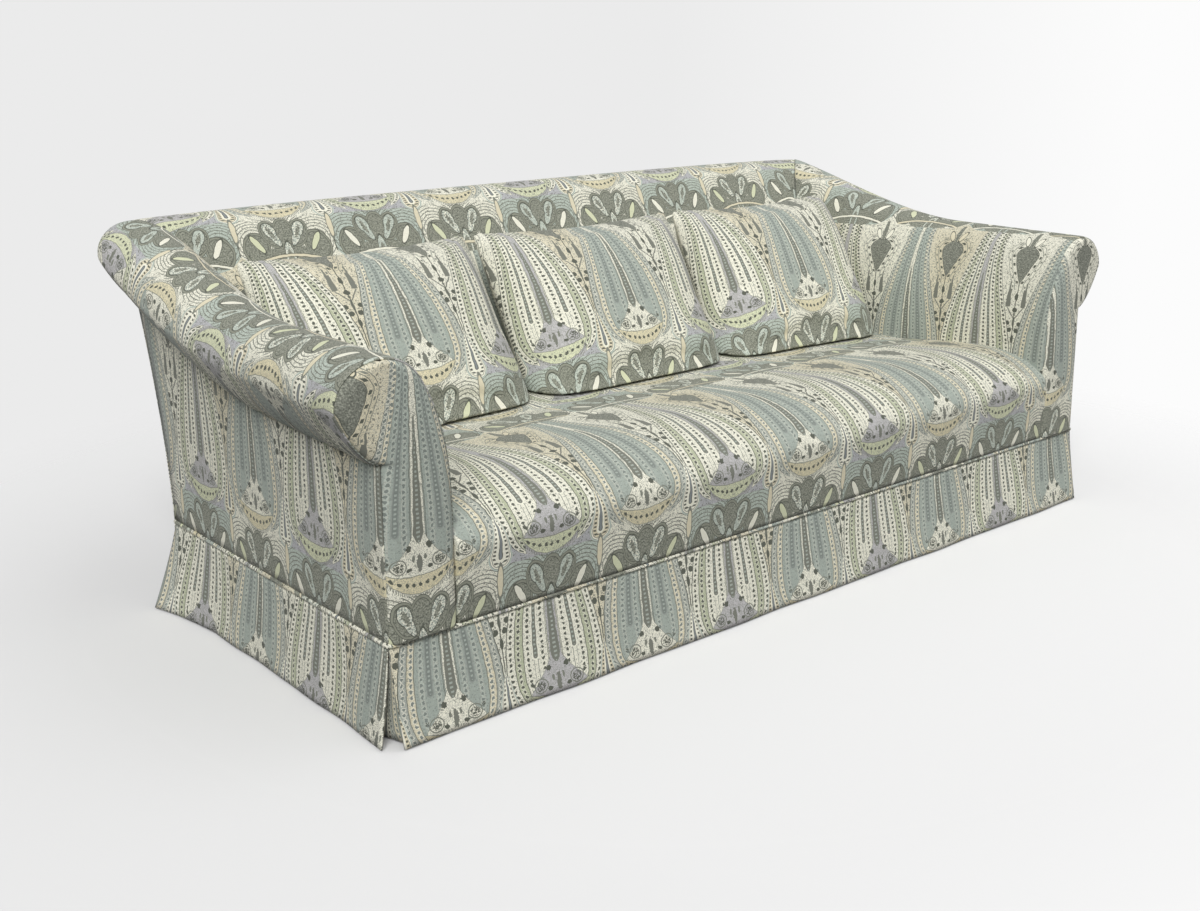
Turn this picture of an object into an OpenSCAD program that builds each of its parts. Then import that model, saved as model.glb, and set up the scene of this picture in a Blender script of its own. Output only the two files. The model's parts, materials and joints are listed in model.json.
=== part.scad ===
// Three-seater sofa with scroll arms that sweep up into a rolled back,
// a tight crowned seat, three loose back cushions and a tailored skirt.
// Millimetres, Z up, the front faces -Y, origin under the middle on the floor.

/* [Overall size] */
// Width across the base, at the piping above the skirt
base_w = 2100; // [1900:10:2400]
// Depth of the base, front to back, at the piping
base_d = 882; // [860:2:940]
// Height of the piping above the floor
skirt_top = 190; // [175:1:205]
// Height of the back at its middle
back_h = 842; // [800:1:870]
// How much lower the back is at its corners, where the arms run into it
corner_drop = 9; // [0:1:20]
// How far the rolled back reaches behind the base
back_overhang = 214; // [205:1:240]

/* [Arms] */
// Height of an arm at its front
arm_front_h = 706; // [690:1:730]
// Thickness of an arm at the seat
arm_thick = 145; // [138:1:165]
// Radius of the arm's roll at the front
arm_roll_r = 92; // [86:1:100]
// How far the roll stands out past the outside arm at the front
arm_roll_out = 79; // [70:1:88]
// How far the roll stands out past the outside arm at the back corner
corner_roll_out = 62; // [56:1:68]
// Where the arm starts to rise, measured from the front of the base
rise_start = 380; // [340:2:420]
// Length over which the arm's top would level off again
rise_len = 850; // [780:5:900]

/* [Back] */
// Radius of the back's roll
back_roll_r = 80; // [76:1:84]
// Recline of the inside back from upright, in degrees
recline = 29; // [26:0.5:31]
// How far the outside back leans out between the base and the roll
back_lean = 94; // [80:1:105]
// How strongly that lean gathers towards the top
lean_power = 1.7; // [1.2:0.1:2.2]
// How far the cloth is drawn in under the roll at the arm fronts, as a share of its radius
front_tuck = 0.12; // [0:0.02:0.2]
// The same at the back corners
corner_tuck = 0.38; // [0.2:0.02:0.44]
// Rounding of the corner between arm and back, seen from above
corner_round = 35; // [20:1:45]

/* [Seat] */
// Height of the seat's crown near the front edge
seat_h = 431; // [415:1:445]
// How far the seat falls from there to the back cushions
seat_fall = 29; // [15:1:35]
// How much lower the seat is beside the arms than in the middle
seat_crown = 20; // [8:1:26]
// Depth of the rounded front edge
seat_edge_d = 195; // [150:1:230]
// Height of the rounded front edge
seat_edge_h = 100; // [80:1:120]
// How far the seat front stands out past the base
seat_front_out = 18; // [12:1:24]
// How far the seat front stands out past the base at the piping
seat_foot_out = 8; // [4:1:10]
// How far the seat's own cover and the cushions stay from the arms
side_gap = 0.5; // [0.3:0.1:1]

/* [Upholstery layers] */
// Thickness of the cover cloth
cover_t = 2.5; // [2:0.1:3]
// Depth of the padding under the cover on arms and back, from the cover's face
pad_depth = 30; // [26:1:32]
// Depth below the cover's face at which the lining or webbing starts
lining_depth = 31; // [30.5:0.1:32.5]
// Thickness of the lining and the webbing
lining_t = 1.5; // [1:0.1:1.6]
// Depth below the cover's face at which the wood starts
wood_depth = 33; // [32.8:0.1:36]
// Space between layers
layer_gap = 0.3; // [0.2:0.05:0.4]
// Thickness of the outside panels
panel_t = 4; // [3:0.5:5]
// Thickness of the arm's front panel
facing_t = 9; // [7:0.5:10]
// Height at which the inside covers of arms and back are tucked in
tuck_z = 345; // [340:1:352]
// Height at which the arm's inside face starts to lean out
arm_lean_z = 400; // [390:1:420]

/* [Back cushions] */
// Thickness of a back cushion
cushion_t = 222; // [200:1:232]
// Height of a cushion's top corners
cushion_top = 764; // [740:1:780]
// How much lower the middle of its top edge is
cushion_dip = 16; // [8:1:24]
// How far each cushion's sides lean out, per unit of its height
cushion_splay = 0.04; // [0:0.005:0.045]
// Space between neighbouring cushions
cushion_gap = 1.5; // [1:0.1:3]
// How far the level part of the seat reaches in front of the cushions
seat_rest = 6.7; // [4:0.1:20]
// Thickness of a cushion at its edge seam
seam_t = 9; // [7:0.5:12]
// Thickness of the panel that holds the zip
zip_panel_t = 2.5; // [2:0.1:3]

/* [Skirt] */
// Thickness of the lined skirt
skirt_t = 3; // [2.5:0.1:3.5]
// Height of the hem above the floor
hem_clear = 4; // [3:0.5:8]
// How far the hem of the front stands out from the base
hem_flare = 32; // [20:1:36]
// How far the hem of the sides stands out
side_flare = 23; // [12:1:30]
// How far the hem of the side stands out at the back corner
rear_flare = 61; // [40:1:66]
// How far each front flap is drawn back from its corner at the hem
pleat_open = 2; // [0:1:8]
// Diameter of the piping
piping_d = 9; // [7:0.5:10]

/* [Frame] */
// Thickness of the seat rails
rail_t = 30; // [25:1:34]
// Height of the underside of the frame above the floor
frame_z = 165; // [150:1:172]
// Height of the seat rails
rail_h = 115; // [105:1:118]
// Thickness of the shaped boards at the arm fronts
front_post_t = 20; // [18:1:24]
// Thickness of the raked back posts
back_post_t = 32; // [25:1:34]
// Thickness of the arm and back rails
stretcher_t = 25; // [20:1:28]
// Height of the lower rails of arms and back
lower_rail_h = 42; // [35:1:45]
// Width of the arm's top rail
top_rail_w = 52; // [44:1:56]
// Height of the top rails
top_rail_h = 26; // [20:1:28]
// Depth of the back's top rail
back_top_rail_d = 46; // [38:1:48]
// Space between wooden pieces
wood_gap = 0.2; // [0.1:0.05:0.4]
// Width of a leg at its top
leg_w = 50; // [40:1:56]
// Width of a leg at its foot
leg_foot_w = 38; // [30:1:44]
// Height of a glide under a leg
glide_h = 6; // [4:0.5:8]
// Width of a cross rail
cross_rail_w = 45; // [35:1:60]
// Height of a cross rail
cross_rail_h = 70; // [50:1:80]
// Distance of the cross rails and uprights from the middle
cross_rail_x = 340; // [250:5:420]
// Side of a corner block
block_w = 75; // [50:1:95]

/* [Suspension] */
// Number of sinuous seat springs
spring_n = 8; // [6:1:10]
// Number of half loops in each spring
spring_loops = 13; // [11:2:17]
// Width of a spring
spring_w = 62; // [50:1:70]
// Diameter of the spring wire
wire_d = 4; // [3:0.1:4]
// Number of webbing straps in the back
strap_n = 7; // [5:1:9]
// Width of a webbing strap
strap_w = 60; // [50:1:70]

/* [Hidden] */
// Number of steps up the inside face, round the two arcs of the roll and under it
FACE_STEPS = 4;
ARC_STEPS = 4;
UNDER_STEPS = 4;
LINES = FACE_STEPS + 2 * ARC_STEPS + UNDER_STEPS;
// Number of steps along an arm, along the back and round their shared corner
ARM_STEPS = 8;
BACK_STEPS = 6;
CORNER_STEPS = 3;

COVER = "#c3c4b0";
PIPING = "#a9ab99";
FOAM = "#e9dfc4";
WOOD = "#c79f6b";
STEEL = "#9aa0a6";
CLOTH = "#3c3a38";
JUTE = "#a98b5d";

// The base rectangle, centred front to back between the hem and the back's roll
half_w = base_w / 2;
hem_out = hem_flare + skirt_t + layer_gap;
front_y = hem_out - (hem_out + base_d + back_overhang) / 2;
rear_y = front_y + base_d;
seat_half = half_w - arm_thick;

// The back's roll at a corner: its centre line, and the plane of the inside back
crown_h = corner_drop;
corner_h = back_h - corner_drop;
back_c_y = rear_y + back_overhang - back_roll_r - crown_h * tan(recline);
back_c_z = corner_h - back_roll_r;
back_end_y = rear_y + back_lean - panel_t - layer_gap - 1;
under_z = corner_h - 2 * back_roll_r;
arm_end_x = half_w - panel_t - 1;
body_y0 = front_y;

function mix(a, b, t) = a + (b - a) * t;
function ease(t) = t <= 0 ? 0 : t >= 1 ? 1 : t * t * (3 - 2 * t);

// Height of an arm's top, from the front board to the corner
function rise(y) = ease((y - front_y - rise_start) / rise_len);
function arm_top_z(y) = arm_front_h + (corner_h - arm_front_h) * rise(y) / rise(back_c_y);
function nominal_y(t) = mix(body_y0, back_c_y, t);
function arm_r(t) = mix(arm_roll_r, back_roll_r, t);
function arm_c_x(t) = half_w + mix(arm_roll_out, corner_roll_out, t) - arm_r(t);
function arm_c_z(t) = arm_top_z(nominal_y(t)) - arm_r(t);

// How far the cloth is drawn in under the roll, along an arm and along the back
function arm_tuck(t) = mix(front_tuck, corner_tuck, ease((t - 0.7) / 0.3));
function back_tuck(q) = mix(front_tuck, corner_tuck, ease((abs(q) - 0.7) / 0.3));

// Points round a roll of radius r, from where the inside face runs into it,
// over the top and under to the outside face at the distance end from the centre
function roll_point(k, r, end, tuck) =
  k <= ARC_STEPS
    ? let(a = 180 - recline - (90 - recline) * k / ARC_STEPS) [r * cos(a), r * sin(a)]
  : k <= 2 * ARC_STEPS
    ? let(a = 90 - 90 * (k - ARC_STEPS) / ARC_STEPS)
      [r * cos(a), r * mix(sin(a), 1, tuck)]
  : let(a = 90 * (k - 2 * ARC_STEPS) / UNDER_STEPS)
    [mix(end, r, mix(cos(a), 1 - sin(a), 0.45 + 0.5 * tuck)), r * (tuck - (1 + tuck) * sin(a))];

// Arm section at station t, depth d below the cover's face: [x, z] of line i
function arm_face_x(z, t, d) =
  let(r = arm_r(t) - d, x0 = seat_half + d, x1 = arm_c_x(t) - r * cos(recline),
      z1 = arm_c_z(t) + r * sin(recline),
      p = tan(recline) * (z1 - arm_lean_z) / (x1 - x0))
  z <= arm_lean_z ? x0 : x0 + (x1 - x0) * pow((z - arm_lean_z) / (z1 - arm_lean_z), p);
function arm_section(i, t, d, low = tuck_z) =
  let(r = arm_r(t) - d, cx = arm_c_x(t), cz = arm_c_z(t))
  i < FACE_STEPS
    ? let(z = mix(low, cz + r * sin(recline), i / FACE_STEPS)) [arm_face_x(z, t, d), z]
    : let(p = roll_point(i - FACE_STEPS, r, arm_end_x - cx, arm_tuck(t)))
      [cx + p[0], cz + p[1]];

// Back section at the share q of the half width: [y, z] of line i
function back_face_y(z, d) =
  let(r = back_roll_r - d)
  back_c_y - r * cos(recline) - (back_c_z + r * sin(recline) - z) * tan(recline);
function back_section(i, q, d) =
  let(r = back_roll_r - d, c = back_crown(q), cy = back_c_y + c * tan(recline),
      cz = back_c_z + c)
  i < FACE_STEPS
    ? let(z = mix(tuck_z, cz + r * sin(recline), i / FACE_STEPS)) [back_face_y(z, d), z]
    : let(p = roll_point(i - FACE_STEPS, r, back_end_y - cy, back_tuck(q)))
      [cy + p[0], cz + p[1]];

// Where line i turns the corner between arm and back, and how round it is there
function turn_x(i, d) = arm_section(i, 1, d)[0];
function turn_y(i, d) = back_section(i, 1, d)[0];
function turn_r(i, d) =
  max(0, corner_round + min(turn_x(i, d) - arm_c_x(1), turn_y(i, d) - back_c_y));
turn_len = corner_round + back_roll_r;
function turn_e(k) = max(layer_gap, turn_len * (1 - k / CORNER_STEPS));
function turned(e, r) =
  e < r ? let(a = 45 * (1 - e / r)) [r - r * sin(a), r * (1 - cos(a))] : [e, 0];

// A point of the right arm: line i, step j from the front board at y0 to the corner
function arm_point(i, j, d, y0) =
  let(corner = turn_y(i, d),
      e = j == 0 ? corner - y0
        : j <= ARM_STEPS ? mix(corner - body_y0, turn_len, j / ARM_STEPS)
        : turn_e(j - ARM_STEPS),
      full = turn_y(i, 0) - body_y0,
      t = j <= ARM_STEPS ? (corner - e - body_y0) / full : 1 - e / full,
      s = arm_section(i, t, d), m = turned(e, turn_r(i, d)))
  [s[0] - m[1], corner - m[0], s[1]];
function arm_grid(d, y0, last = LINES) =
  [for (i = [0 : last]) [for (j = [0 : ARM_STEPS + CORNER_STEPS]) arm_point(i, j, d, y0)]];

// A point of the back: line i, step j from the left corner to the right one
function back_crown(q) = crown_h * (1 - pow(abs(q), 4));
function back_point(i, j, d) =
  let(k = min(j, BACK_STEPS + 2 * CORNER_STEPS - j), side = j < CORNER_STEPS + 1 ? -1 : 1,
      xm = turn_x(i, d), inner = k >= CORNER_STEPS,
      e = inner ? turn_len : turn_e(CORNER_STEPS - k),
      x = inner ? mix(-1, 1, (j - CORNER_STEPS) / BACK_STEPS) * (xm - turn_len) : 0,
      m = inner ? [0, 0] : turned(e, turn_r(i, d)),
      xx = inner ? x : side * (xm - m[0]),
      s = back_section(i, inner ? x / xm : (xm - e) / xm, d))
  [xx, s[0] - m[1], s[1]];
function back_grid(d) =
  [for (i = [0 : LINES]) [for (j = [0 : BACK_STEPS + 2 * CORNER_STEPS]) back_point(i, j, d)]];

// Triangles of a grid of points, and of the rim that joins two such grids
function tri(a, b, c, d) = [[a, b, c], [a, c, d]];
function sheet_faces(n, m, base, turn) =
  [for (i = [0 : n - 1], j = [0 : m - 1])
    let(a = base + i * (m + 1) + j, b = a + 1, c = b + m + 1, d = a + m + 1)
    each turn ? [[a, c, b], [a, d, c]] : tri(a, b, c, d)];
function rim_faces(n, m) =
  let(s = (n + 1) * (m + 1), w = m + 1)
  concat(
    [for (j = [0 : m - 1]) each tri(j, s + j, s + j + 1, j + 1)],
    [for (j = [0 : m - 1]) each tri(n * w + j + 1, s + n * w + j + 1, s + n * w + j, n * w + j)],
    [for (i = [0 : n - 1]) each tri((i + 1) * w, s + (i + 1) * w, s + i * w, i * w)],
    [for (i = [0 : n - 1])
      each tri(i * w + m, s + i * w + m, s + (i + 1) * w + m, (i + 1) * w + m)]);
function flat(grid) = [for (row = grid) each row];

// A closed layer between two grids of the same size; the first is the outer one
module layer(outer, inner) {
  n = len(outer) - 1;
  m = len(outer[0]) - 1;
  polyhedron(
    points = concat(flat(outer), flat(inner)),
    faces = concat(sheet_faces(n, m, 0, false),
                   sheet_faces(n, m, (n + 1) * (m + 1), true),
                   rim_faces(n, m)));
}

// A prism along X whose outline is given as [y, z] points
module along_x(x0, x1, outline) {
  translate([x0, 0, 0]) rotate([90, 0, 90]) linear_extrude(x1 - x0) polygon(outline);
}
module box(low, high) {
  translate(low) cube(high - low);
}
module both_sides() {
  children();
  mirror([1, 0, 0]) children();
}
module on_left() {
  mirror([1, 0, 0]) children();
}

// Frame sizes that several pieces share
post_x1 = arm_end_x - 1;
post_x0 = post_x1 - back_post_t;
front_post_y0 = front_y + layer_gap;
front_post_y1 = front_post_y0 + front_post_t;
front_post_inset = cover_t + 3.5;
front_rail_y0 = front_y + seat_foot_out;
front_rail_y1 = front_rail_y0 + rail_t;
back_rail_y1 = rear_y - panel_t - 2;
back_rail_y0 = back_rail_y1 - rail_t;
rail_z1 = frame_z + rail_h;
wood_clear = wood_depth + 1;
lower_rail_z0 = rail_z1 + 20;
lower_rail_z1 = lower_rail_z0 + lower_rail_h;
top_rail_z0 = back_c_z - top_rail_h / 2 - 1;
top_rail_z1 = top_rail_z0 + top_rail_h;
top_rail_y0 = back_face_y(top_rail_z0, wood_depth) + 1;
top_rail_y1 = back_face_y(top_rail_z1, wood_depth) + back_top_rail_d;

// Outside back line, leaning out towards the roll
function back_out_y(z) =
  rear_y + back_lean * pow(max(0, z - skirt_top) / (under_z - skirt_top), lean_power);

module front_seat_rail() {
  color(WOOD) {
    x = seat_half + front_post_inset - wood_gap;
    box([-x, front_rail_y0, frame_z], [x, front_rail_y1, rail_z1]);
  }
}
module back_seat_rail() {
  color(WOOD) {
    x = post_x0 - wood_gap;
    box([-x, back_rail_y0, frame_z], [x, back_rail_y1, rail_z1]);
  }
}
module right_side_rail() {
  color(WOOD)
    box([post_x1 - rail_t, front_post_y1 + wood_gap, frame_z],
        [post_x1, back_face_y(lower_rail_z0, wood_clear) - wood_gap, rail_z1]);
}
module seat_cross_rails() {
  z1 = rail_z1 - 20;
  color(WOOD)
    both_sides()
      box([cross_rail_x - cross_rail_w / 2, front_rail_y1 + wood_gap, z1 - cross_rail_h],
          [cross_rail_x + cross_rail_w / 2, back_rail_y0 - wood_gap, z1]);
}
module corner_blocks() {
  z0 = frame_z;
  h = rail_h - 15;
  rear_x = post_x0 - wood_gap;
  rear_block_y = back_rail_y0 - wood_gap;
  front_x = post_x1 - rail_t - wood_gap;
  front_block_y = front_post_y1 + wood_gap;
  color(WOOD)
    both_sides() {
      translate([0, 0, z0]) linear_extrude(h)
        polygon([[front_x, front_block_y], [front_x, front_block_y + block_w],
                 [front_x - block_w, front_block_y]]);
      translate([0, 0, z0]) linear_extrude(h)
        polygon([[rear_x, rear_block_y], [rear_x - block_w, rear_block_y],
                 [rear_x, rear_block_y - block_w]]);
    }
}

// Outline of the arm's front, depth d inside the cover's face, down to z0
function front_outline(d, z0) =
  concat([for (i = [0 : LINES]) arm_section(i, 0, d, z0)],
         [[half_w - d - 0.01, arm_c_z(0) - arm_r(0) + d], [half_w - d, z0]]);

module right_front_post() {
  d = front_post_inset;
  color(WOOD)
    translate([0, front_post_y1, 0]) rotate([90, 0, 0]) linear_extrude(front_post_t)
      polygon(front_outline(d, frame_z));
}
module right_back_post() {
  top = top_rail_z0 - wood_gap;
  knee = under_z;
  neck_y = back_end_y - 1;
  nose_z = under_z + pad_depth + 6;
  post_head = 21;
  steps = 7;
  color(WOOD)
    along_x(post_x0, post_x1, concat(
      [[back_face_y(lower_rail_z0, wood_clear), frame_z],
       [back_face_y(lower_rail_z0, wood_clear), lower_rail_z0],
       [back_face_y(top, wood_clear), top],
       [back_face_y(top, wood_clear) + post_head, top],
       [neck_y, nose_z]],
      [for (k = [0 : steps])
        let(z = mix(knee, frame_z, k / steps)) [min(neck_y, back_out_y(z) - panel_t - 2), z]]));
}
module lower_back_rail() {
  x = post_x0 - wood_gap;
  color(WOOD)
    along_x(-x, x, [
      [back_face_y(lower_rail_z0, wood_depth), lower_rail_z0],
      [back_face_y(lower_rail_z1, wood_depth), lower_rail_z1],
      [back_face_y(lower_rail_z1, wood_depth) + stretcher_t, lower_rail_z1],
      [back_face_y(lower_rail_z0, wood_depth) + stretcher_t, lower_rail_z0]]);
}
module top_back_rail() {
  x = post_x0 + 16;
  color(WOOD)
    along_x(-x, x, [
      [back_face_y(top_rail_z0, wood_depth), top_rail_z0],
      [back_face_y(top_rail_z1, wood_depth), top_rail_z1],
      [top_rail_y1, top_rail_z1], [top_rail_y1, top_rail_z0]]);
}
module back_uprights() {
  z0 = lower_rail_z1 + wood_gap;
  z1 = top_rail_z0 - wood_gap;
  color(WOOD)
    both_sides()
      along_x(cross_rail_x - cross_rail_w / 2, cross_rail_x + cross_rail_w / 2, [
        [back_face_y(z0, wood_depth), z0], [back_face_y(z1, wood_depth), z1],
        [back_face_y(z1, wood_depth) + stretcher_t, z1],
        [back_face_y(z0, wood_depth) + stretcher_t, z0]]);
}
module right_arm_top_rail() {
  y0 = front_post_y1 + wood_gap;
  y1 = back_face_y(top_rail_z0 - top_rail_h / 2 - 4, wood_clear) - wood_gap;
  steps = 14;
  x = arm_c_x(0.5) - 3;
  function mid_z(y) = arm_c_z((y - body_y0) / (back_c_y - body_y0));
  color(WOOD)
    along_x(x - top_rail_w / 2, x + top_rail_w / 2, concat(
      [for (k = [0 : steps]) let(y = mix(y0, y1, k / steps)) [y, mid_z(y) - top_rail_h / 2]],
      [for (k = [steps : -1 : 0]) let(y = mix(y0, y1, k / steps)) [y, mid_z(y) + top_rail_h / 2]]));
}
module right_arm_lower_rail() {
  color(WOOD)
    box([seat_half + wood_depth, front_post_y1 + wood_gap, lower_rail_z0],
        [seat_half + wood_depth + stretcher_t,
         back_face_y(lower_rail_z0, wood_depth) - wood_gap, lower_rail_z1]);
}

// Legs under the four corners and under the middle of the front and back rails
leg_inset = 45;
leg_places = [
  for (x = [-half_w + leg_inset, 0, half_w - leg_inset], y = [front_y + 37, back_rail_y0 - 4])
    [x, y]];
module legs() {
  h = frame_z - glide_h;
  slim = (leg_w - leg_foot_w) / 2;
  color(WOOD)
    for (p = leg_places)
      translate([p[0], p[1], glide_h])
        intersection() {
          along_x(-leg_w / 2, leg_w / 2,
            [[-leg_foot_w / 2, 0], [leg_foot_w / 2, 0], [leg_w / 2, h], [-leg_w / 2, h]]);
          rotate([90, 0, 0]) translate([0, 0, -leg_w / 2]) linear_extrude(leg_w)
            polygon([[slim - leg_w / 2, 0], [leg_w / 2 - slim, 0],
                     [leg_w / 2, h], [-leg_w / 2, h]]);
        }
}
module leg_glides() {
  color(STEEL)
    for (p = leg_places)
      translate([p[0], p[1], 0]) cylinder(h = glide_h, d = leg_foot_w * 0.6, $fn = 32);
}

// One sinuous spring, lying flat: its outline is drawn out and back along the wire
function spring_path(n, len, w) =
  concat([[-w / 2, 0]], [for (k = [0 : n - 1])
    let(step = len / n, s = k % 2 == 0 ? 1 : -1, y = k * step)
    each [[s * (w / 2 - step * 0.28), y], [s * w / 2, y + step * 0.28],
          [s * w / 2, y + step * 0.72]]],
    [[(n % 2 == 1 ? 1 : -1) * (w / 2 - step_in(len, n)), len], [0, len]]);
function step_in(len, n) = len / n * 0.28;
function unit(v) = v / norm(v);
function side_of(path, k) =
  let(a = unit(path[k] - path[max(0, k - 1)] + (k == 0 ? path[1] - path[0] : [0, 0])),
      b = k < len(path) - 1 ? unit(path[k + 1] - path[k]) : a,
      t = unit(a + b), f = 1 / max(0.4, a * t))
  [-t[1], t[0]] * f;
function wire_outline(path, w) =
  concat([for (k = [0 : len(path) - 1]) path[k] + side_of(path, k) * w / 2],
         [for (k = [len(path) - 1 : -1 : 0]) path[k] - side_of(path, k) * w / 2]);
spring_y0 = front_rail_y0 + rail_t * 0.6;
spring_y1 = back_rail_y1 - rail_t * 0.6;
spring_z = rail_z1 + layer_gap;
spring_pitch = 2 * (seat_half - 60) / spring_n;
module at_springs() {
  for (k = [0 : spring_n - 1])
    translate([(k - (spring_n - 1) / 2) * spring_pitch, 0, 0]) children();
}
module seat_springs() {
  path = spring_path(spring_loops, spring_y1 - spring_y0, spring_w);
  color(STEEL)
    at_springs()
      translate([0, spring_y0, spring_z]) linear_extrude(wire_d)
        polygon(wire_outline(path, wire_d));
}
// Clips that hook over the spring ends and are nailed to the rails
module spring_clip() {
  t = 1.2;
  over = wire_d + 2 * layer_gap;
  translate([-9, 0, rail_z1]) rotate([90, 0, 90]) linear_extrude(18)
    polygon([[-9, 0], [-4, 0], [-4, over], [4, over], [4, 0.4], [4 + t, 0.4],
             [4 + t, over + t], [-4 - t, over + t], [-4 - t, t], [-9, t]]);
}
module spring_clips() {
  color(STEEL)
    at_springs() {
      translate([0, spring_y0, 0]) spring_clip();
      translate([0, spring_y1, 0]) mirror([0, 1, 0]) spring_clip();
    }
}
platform_z = spring_z + wire_d + 1.8;
deck_z = platform_z + lining_t + layer_gap;
module seat_platform() {
  x = seat_half - 4;
  color(JUTE)
    box([-x, front_rail_y0, platform_z], [x, back_rail_y1 - 8, platform_z + lining_t]);
}
module back_webbing() {
  z0 = lower_rail_z0 + 4;
  z1 = top_rail_z1 - 4;
  pitch = 2 * (seat_half - 20) / strap_n;
  color(JUTE)
    for (k = [0 : strap_n - 1])
      let(x = (k - (strap_n - 1) / 2) * pitch)
        along_x(x - strap_w / 2, x + strap_w / 2, [
          [back_face_y(z0, lining_depth), z0], [back_face_y(z1, lining_depth), z1],
          [back_face_y(z1, lining_depth + lining_t), z1],
          [back_face_y(z0, lining_depth + lining_t), z0]]);
}
module right_arm_lining() {
  y0 = front_post_y1 + wood_gap;
  color(JUTE)
    layer(arm_grid(lining_depth - 0.5, y0, FACE_STEPS),
          arm_grid(lining_depth - 0.5 + lining_t, y0, FACE_STEPS));
}

// Where the back cushions stand, which also sets where the seat becomes level
cushion_seat_z = seat_h - seat_fall + 0.6;
cushion_len = (cushion_top - cushion_seat_z) / cos(recline);
cushion_mid_y =
  back_face_y(cushion_top, 0) - (cushion_t / 2 + 0.6) / cos(recline);
cushion_foot_y = cushion_mid_y - cushion_len * sin(recline);

// Seat section: line i runs from the back over the top and down the front
SEAT_REAR_STEPS = 2;
SEAT_TOP_STEPS = 5;
SEAT_EDGE_STEPS = 6;
SEAT_DROP_STEPS = 2;
SEAT_LINES = SEAT_TOP_STEPS + SEAT_EDGE_STEPS + SEAT_DROP_STEPS;
SEAT_COLUMNS = 12;
piping_z = skirt_top;
panel_z0 = piping_z + piping_d / 2 + 0.5;
seat_front_y = front_y - seat_front_out;
seat_edge_y = seat_front_y + seat_edge_d;
cushion_front_y = cushion_foot_y - cushion_t / 2 - seat_rest;
function seat_side_drop(x) = seat_crown * pow(abs(x) / seat_half, 4);
function seat_top_z(x, y) =
  let(s = min(1, max(0, (y - seat_edge_y) / (cushion_front_y - seat_edge_y))))
  seat_h - seat_fall * pow(s, 1.3) - seat_side_drop(x);
function seat_rear_y(z) = back_face_y(z, 0) - 1;
function seat_top_y(i, rear) =
  i <= SEAT_REAR_STEPS
    ? mix(rear, cushion_front_y, i / SEAT_REAR_STEPS)
    : mix(cushion_front_y, seat_edge_y,
          (i - SEAT_REAR_STEPS) / (SEAT_TOP_STEPS - SEAT_REAR_STEPS));
function seat_face(i, x, d) =
  let(edge_z = seat_h - seat_edge_h,
      rear = seat_rear_y(seat_h - seat_fall - seat_side_drop(x) - d))
  i <= SEAT_TOP_STEPS
    ? let(y = seat_top_y(i, rear)) [y, seat_top_z(x, y) - d]
  : i <= SEAT_TOP_STEPS + SEAT_EDGE_STEPS
    ? let(a = 90 * (i - SEAT_TOP_STEPS) / SEAT_EDGE_STEPS, top = seat_top_z(x, seat_edge_y) - d)
      [seat_edge_y - (seat_edge_d - d) * sin(a), edge_z + (top - edge_z) * cos(a)]
  : let(k = (i - SEAT_TOP_STEPS - SEAT_EDGE_STEPS) / SEAT_DROP_STEPS)
    [mix(seat_front_y, front_y - seat_foot_out, k) + d, mix(edge_z, panel_z0, k)];
function seat_under(i) =
  let(y1 = front_rail_y0 - layer_gap)
  i <= SEAT_TOP_STEPS ? [seat_top_y(i, seat_rear_y(deck_z)), deck_z]
  : i <= SEAT_TOP_STEPS + SEAT_EDGE_STEPS
    ? [mix(seat_edge_y, y1, (i - SEAT_TOP_STEPS) / SEAT_EDGE_STEPS), deck_z]
  : [y1, mix(deck_z, panel_z0 + 2, (i - SEAT_TOP_STEPS - SEAT_EDGE_STEPS) / SEAT_DROP_STEPS)];
function seat_x(j) = (seat_half - side_gap) * sin(90 * (2 * j / SEAT_COLUMNS - 1));
function seat_grid(d) =
  [for (i = [0 : SEAT_LINES]) [for (j = [0 : SEAT_COLUMNS])
    let(x = seat_x(j), p = seat_face(i, x, d)) [x, p[0], p[1]]]];
function seat_under_grid() =
  [for (i = [0 : SEAT_LINES]) [for (j = [0 : SEAT_COLUMNS])
    let(p = seat_under(i)) [seat_x(j), p[0], p[1]]]];
module seat_cover() {
  color(COVER) layer(seat_grid(0), seat_grid(cover_t));
}
module seat_padding() {
  color(FOAM) layer(seat_grid(cover_t + layer_gap), seat_under_grid());
}

module right_arm_cover() {
  color(COVER) layer(arm_grid(0, front_post_y0), arm_grid(cover_t, front_post_y0));
}
module right_arm_padding() {
  y0 = front_post_y1 + layer_gap;
  color(FOAM) layer(arm_grid(cover_t + layer_gap, y0), arm_grid(pad_depth, y0));
}
module inside_back_cover() {
  color(COVER) layer(back_grid(cover_t), back_grid(0));
}
module back_padding() {
  color(FOAM) layer(back_grid(pad_depth), back_grid(cover_t + layer_gap));
}

// Outside panels, which end under the roll
function arm_under_z(y) =
  let(t = min(1, (y - body_y0) / (turn_y(LINES, 0) - body_y0))) arm_c_z(t) - arm_r(t) - 1.5;
module right_arm_outside_cover() {
  steps = 10;
  top_y = back_end_y;
  color(COVER)
    along_x(half_w - panel_t, half_w, concat(
      [for (k = [0 : steps])
        let(z = mix(panel_z0, under_z - layer_gap, k / steps))
        [back_out_y(z) - panel_t - layer_gap, z]],
      [for (k = [1 : steps])
        let(y = mix(top_y, front_post_y0, k / steps)) [y, arm_under_z(y)]],
      [[front_post_y0, panel_z0]]));
}
module outside_back_cover() {
  rows = 6;
  columns = 10;
  function panel_point(i, j, d) =
    let(x = mix(-half_w, half_w, j / columns),
        top = under_z + back_crown(min(1, abs(x) / turn_x(LINES, 0))) - layer_gap,
        z = mix(panel_z0, top, i / rows))
    [x, back_out_y(z) - d, z];
  function panel_grid(d) = [for (i = [0 : rows]) [for (j = [0 : columns]) panel_point(i, j, d)]];
  color(COVER) layer(panel_grid(0), panel_grid(panel_t));
}

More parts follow.
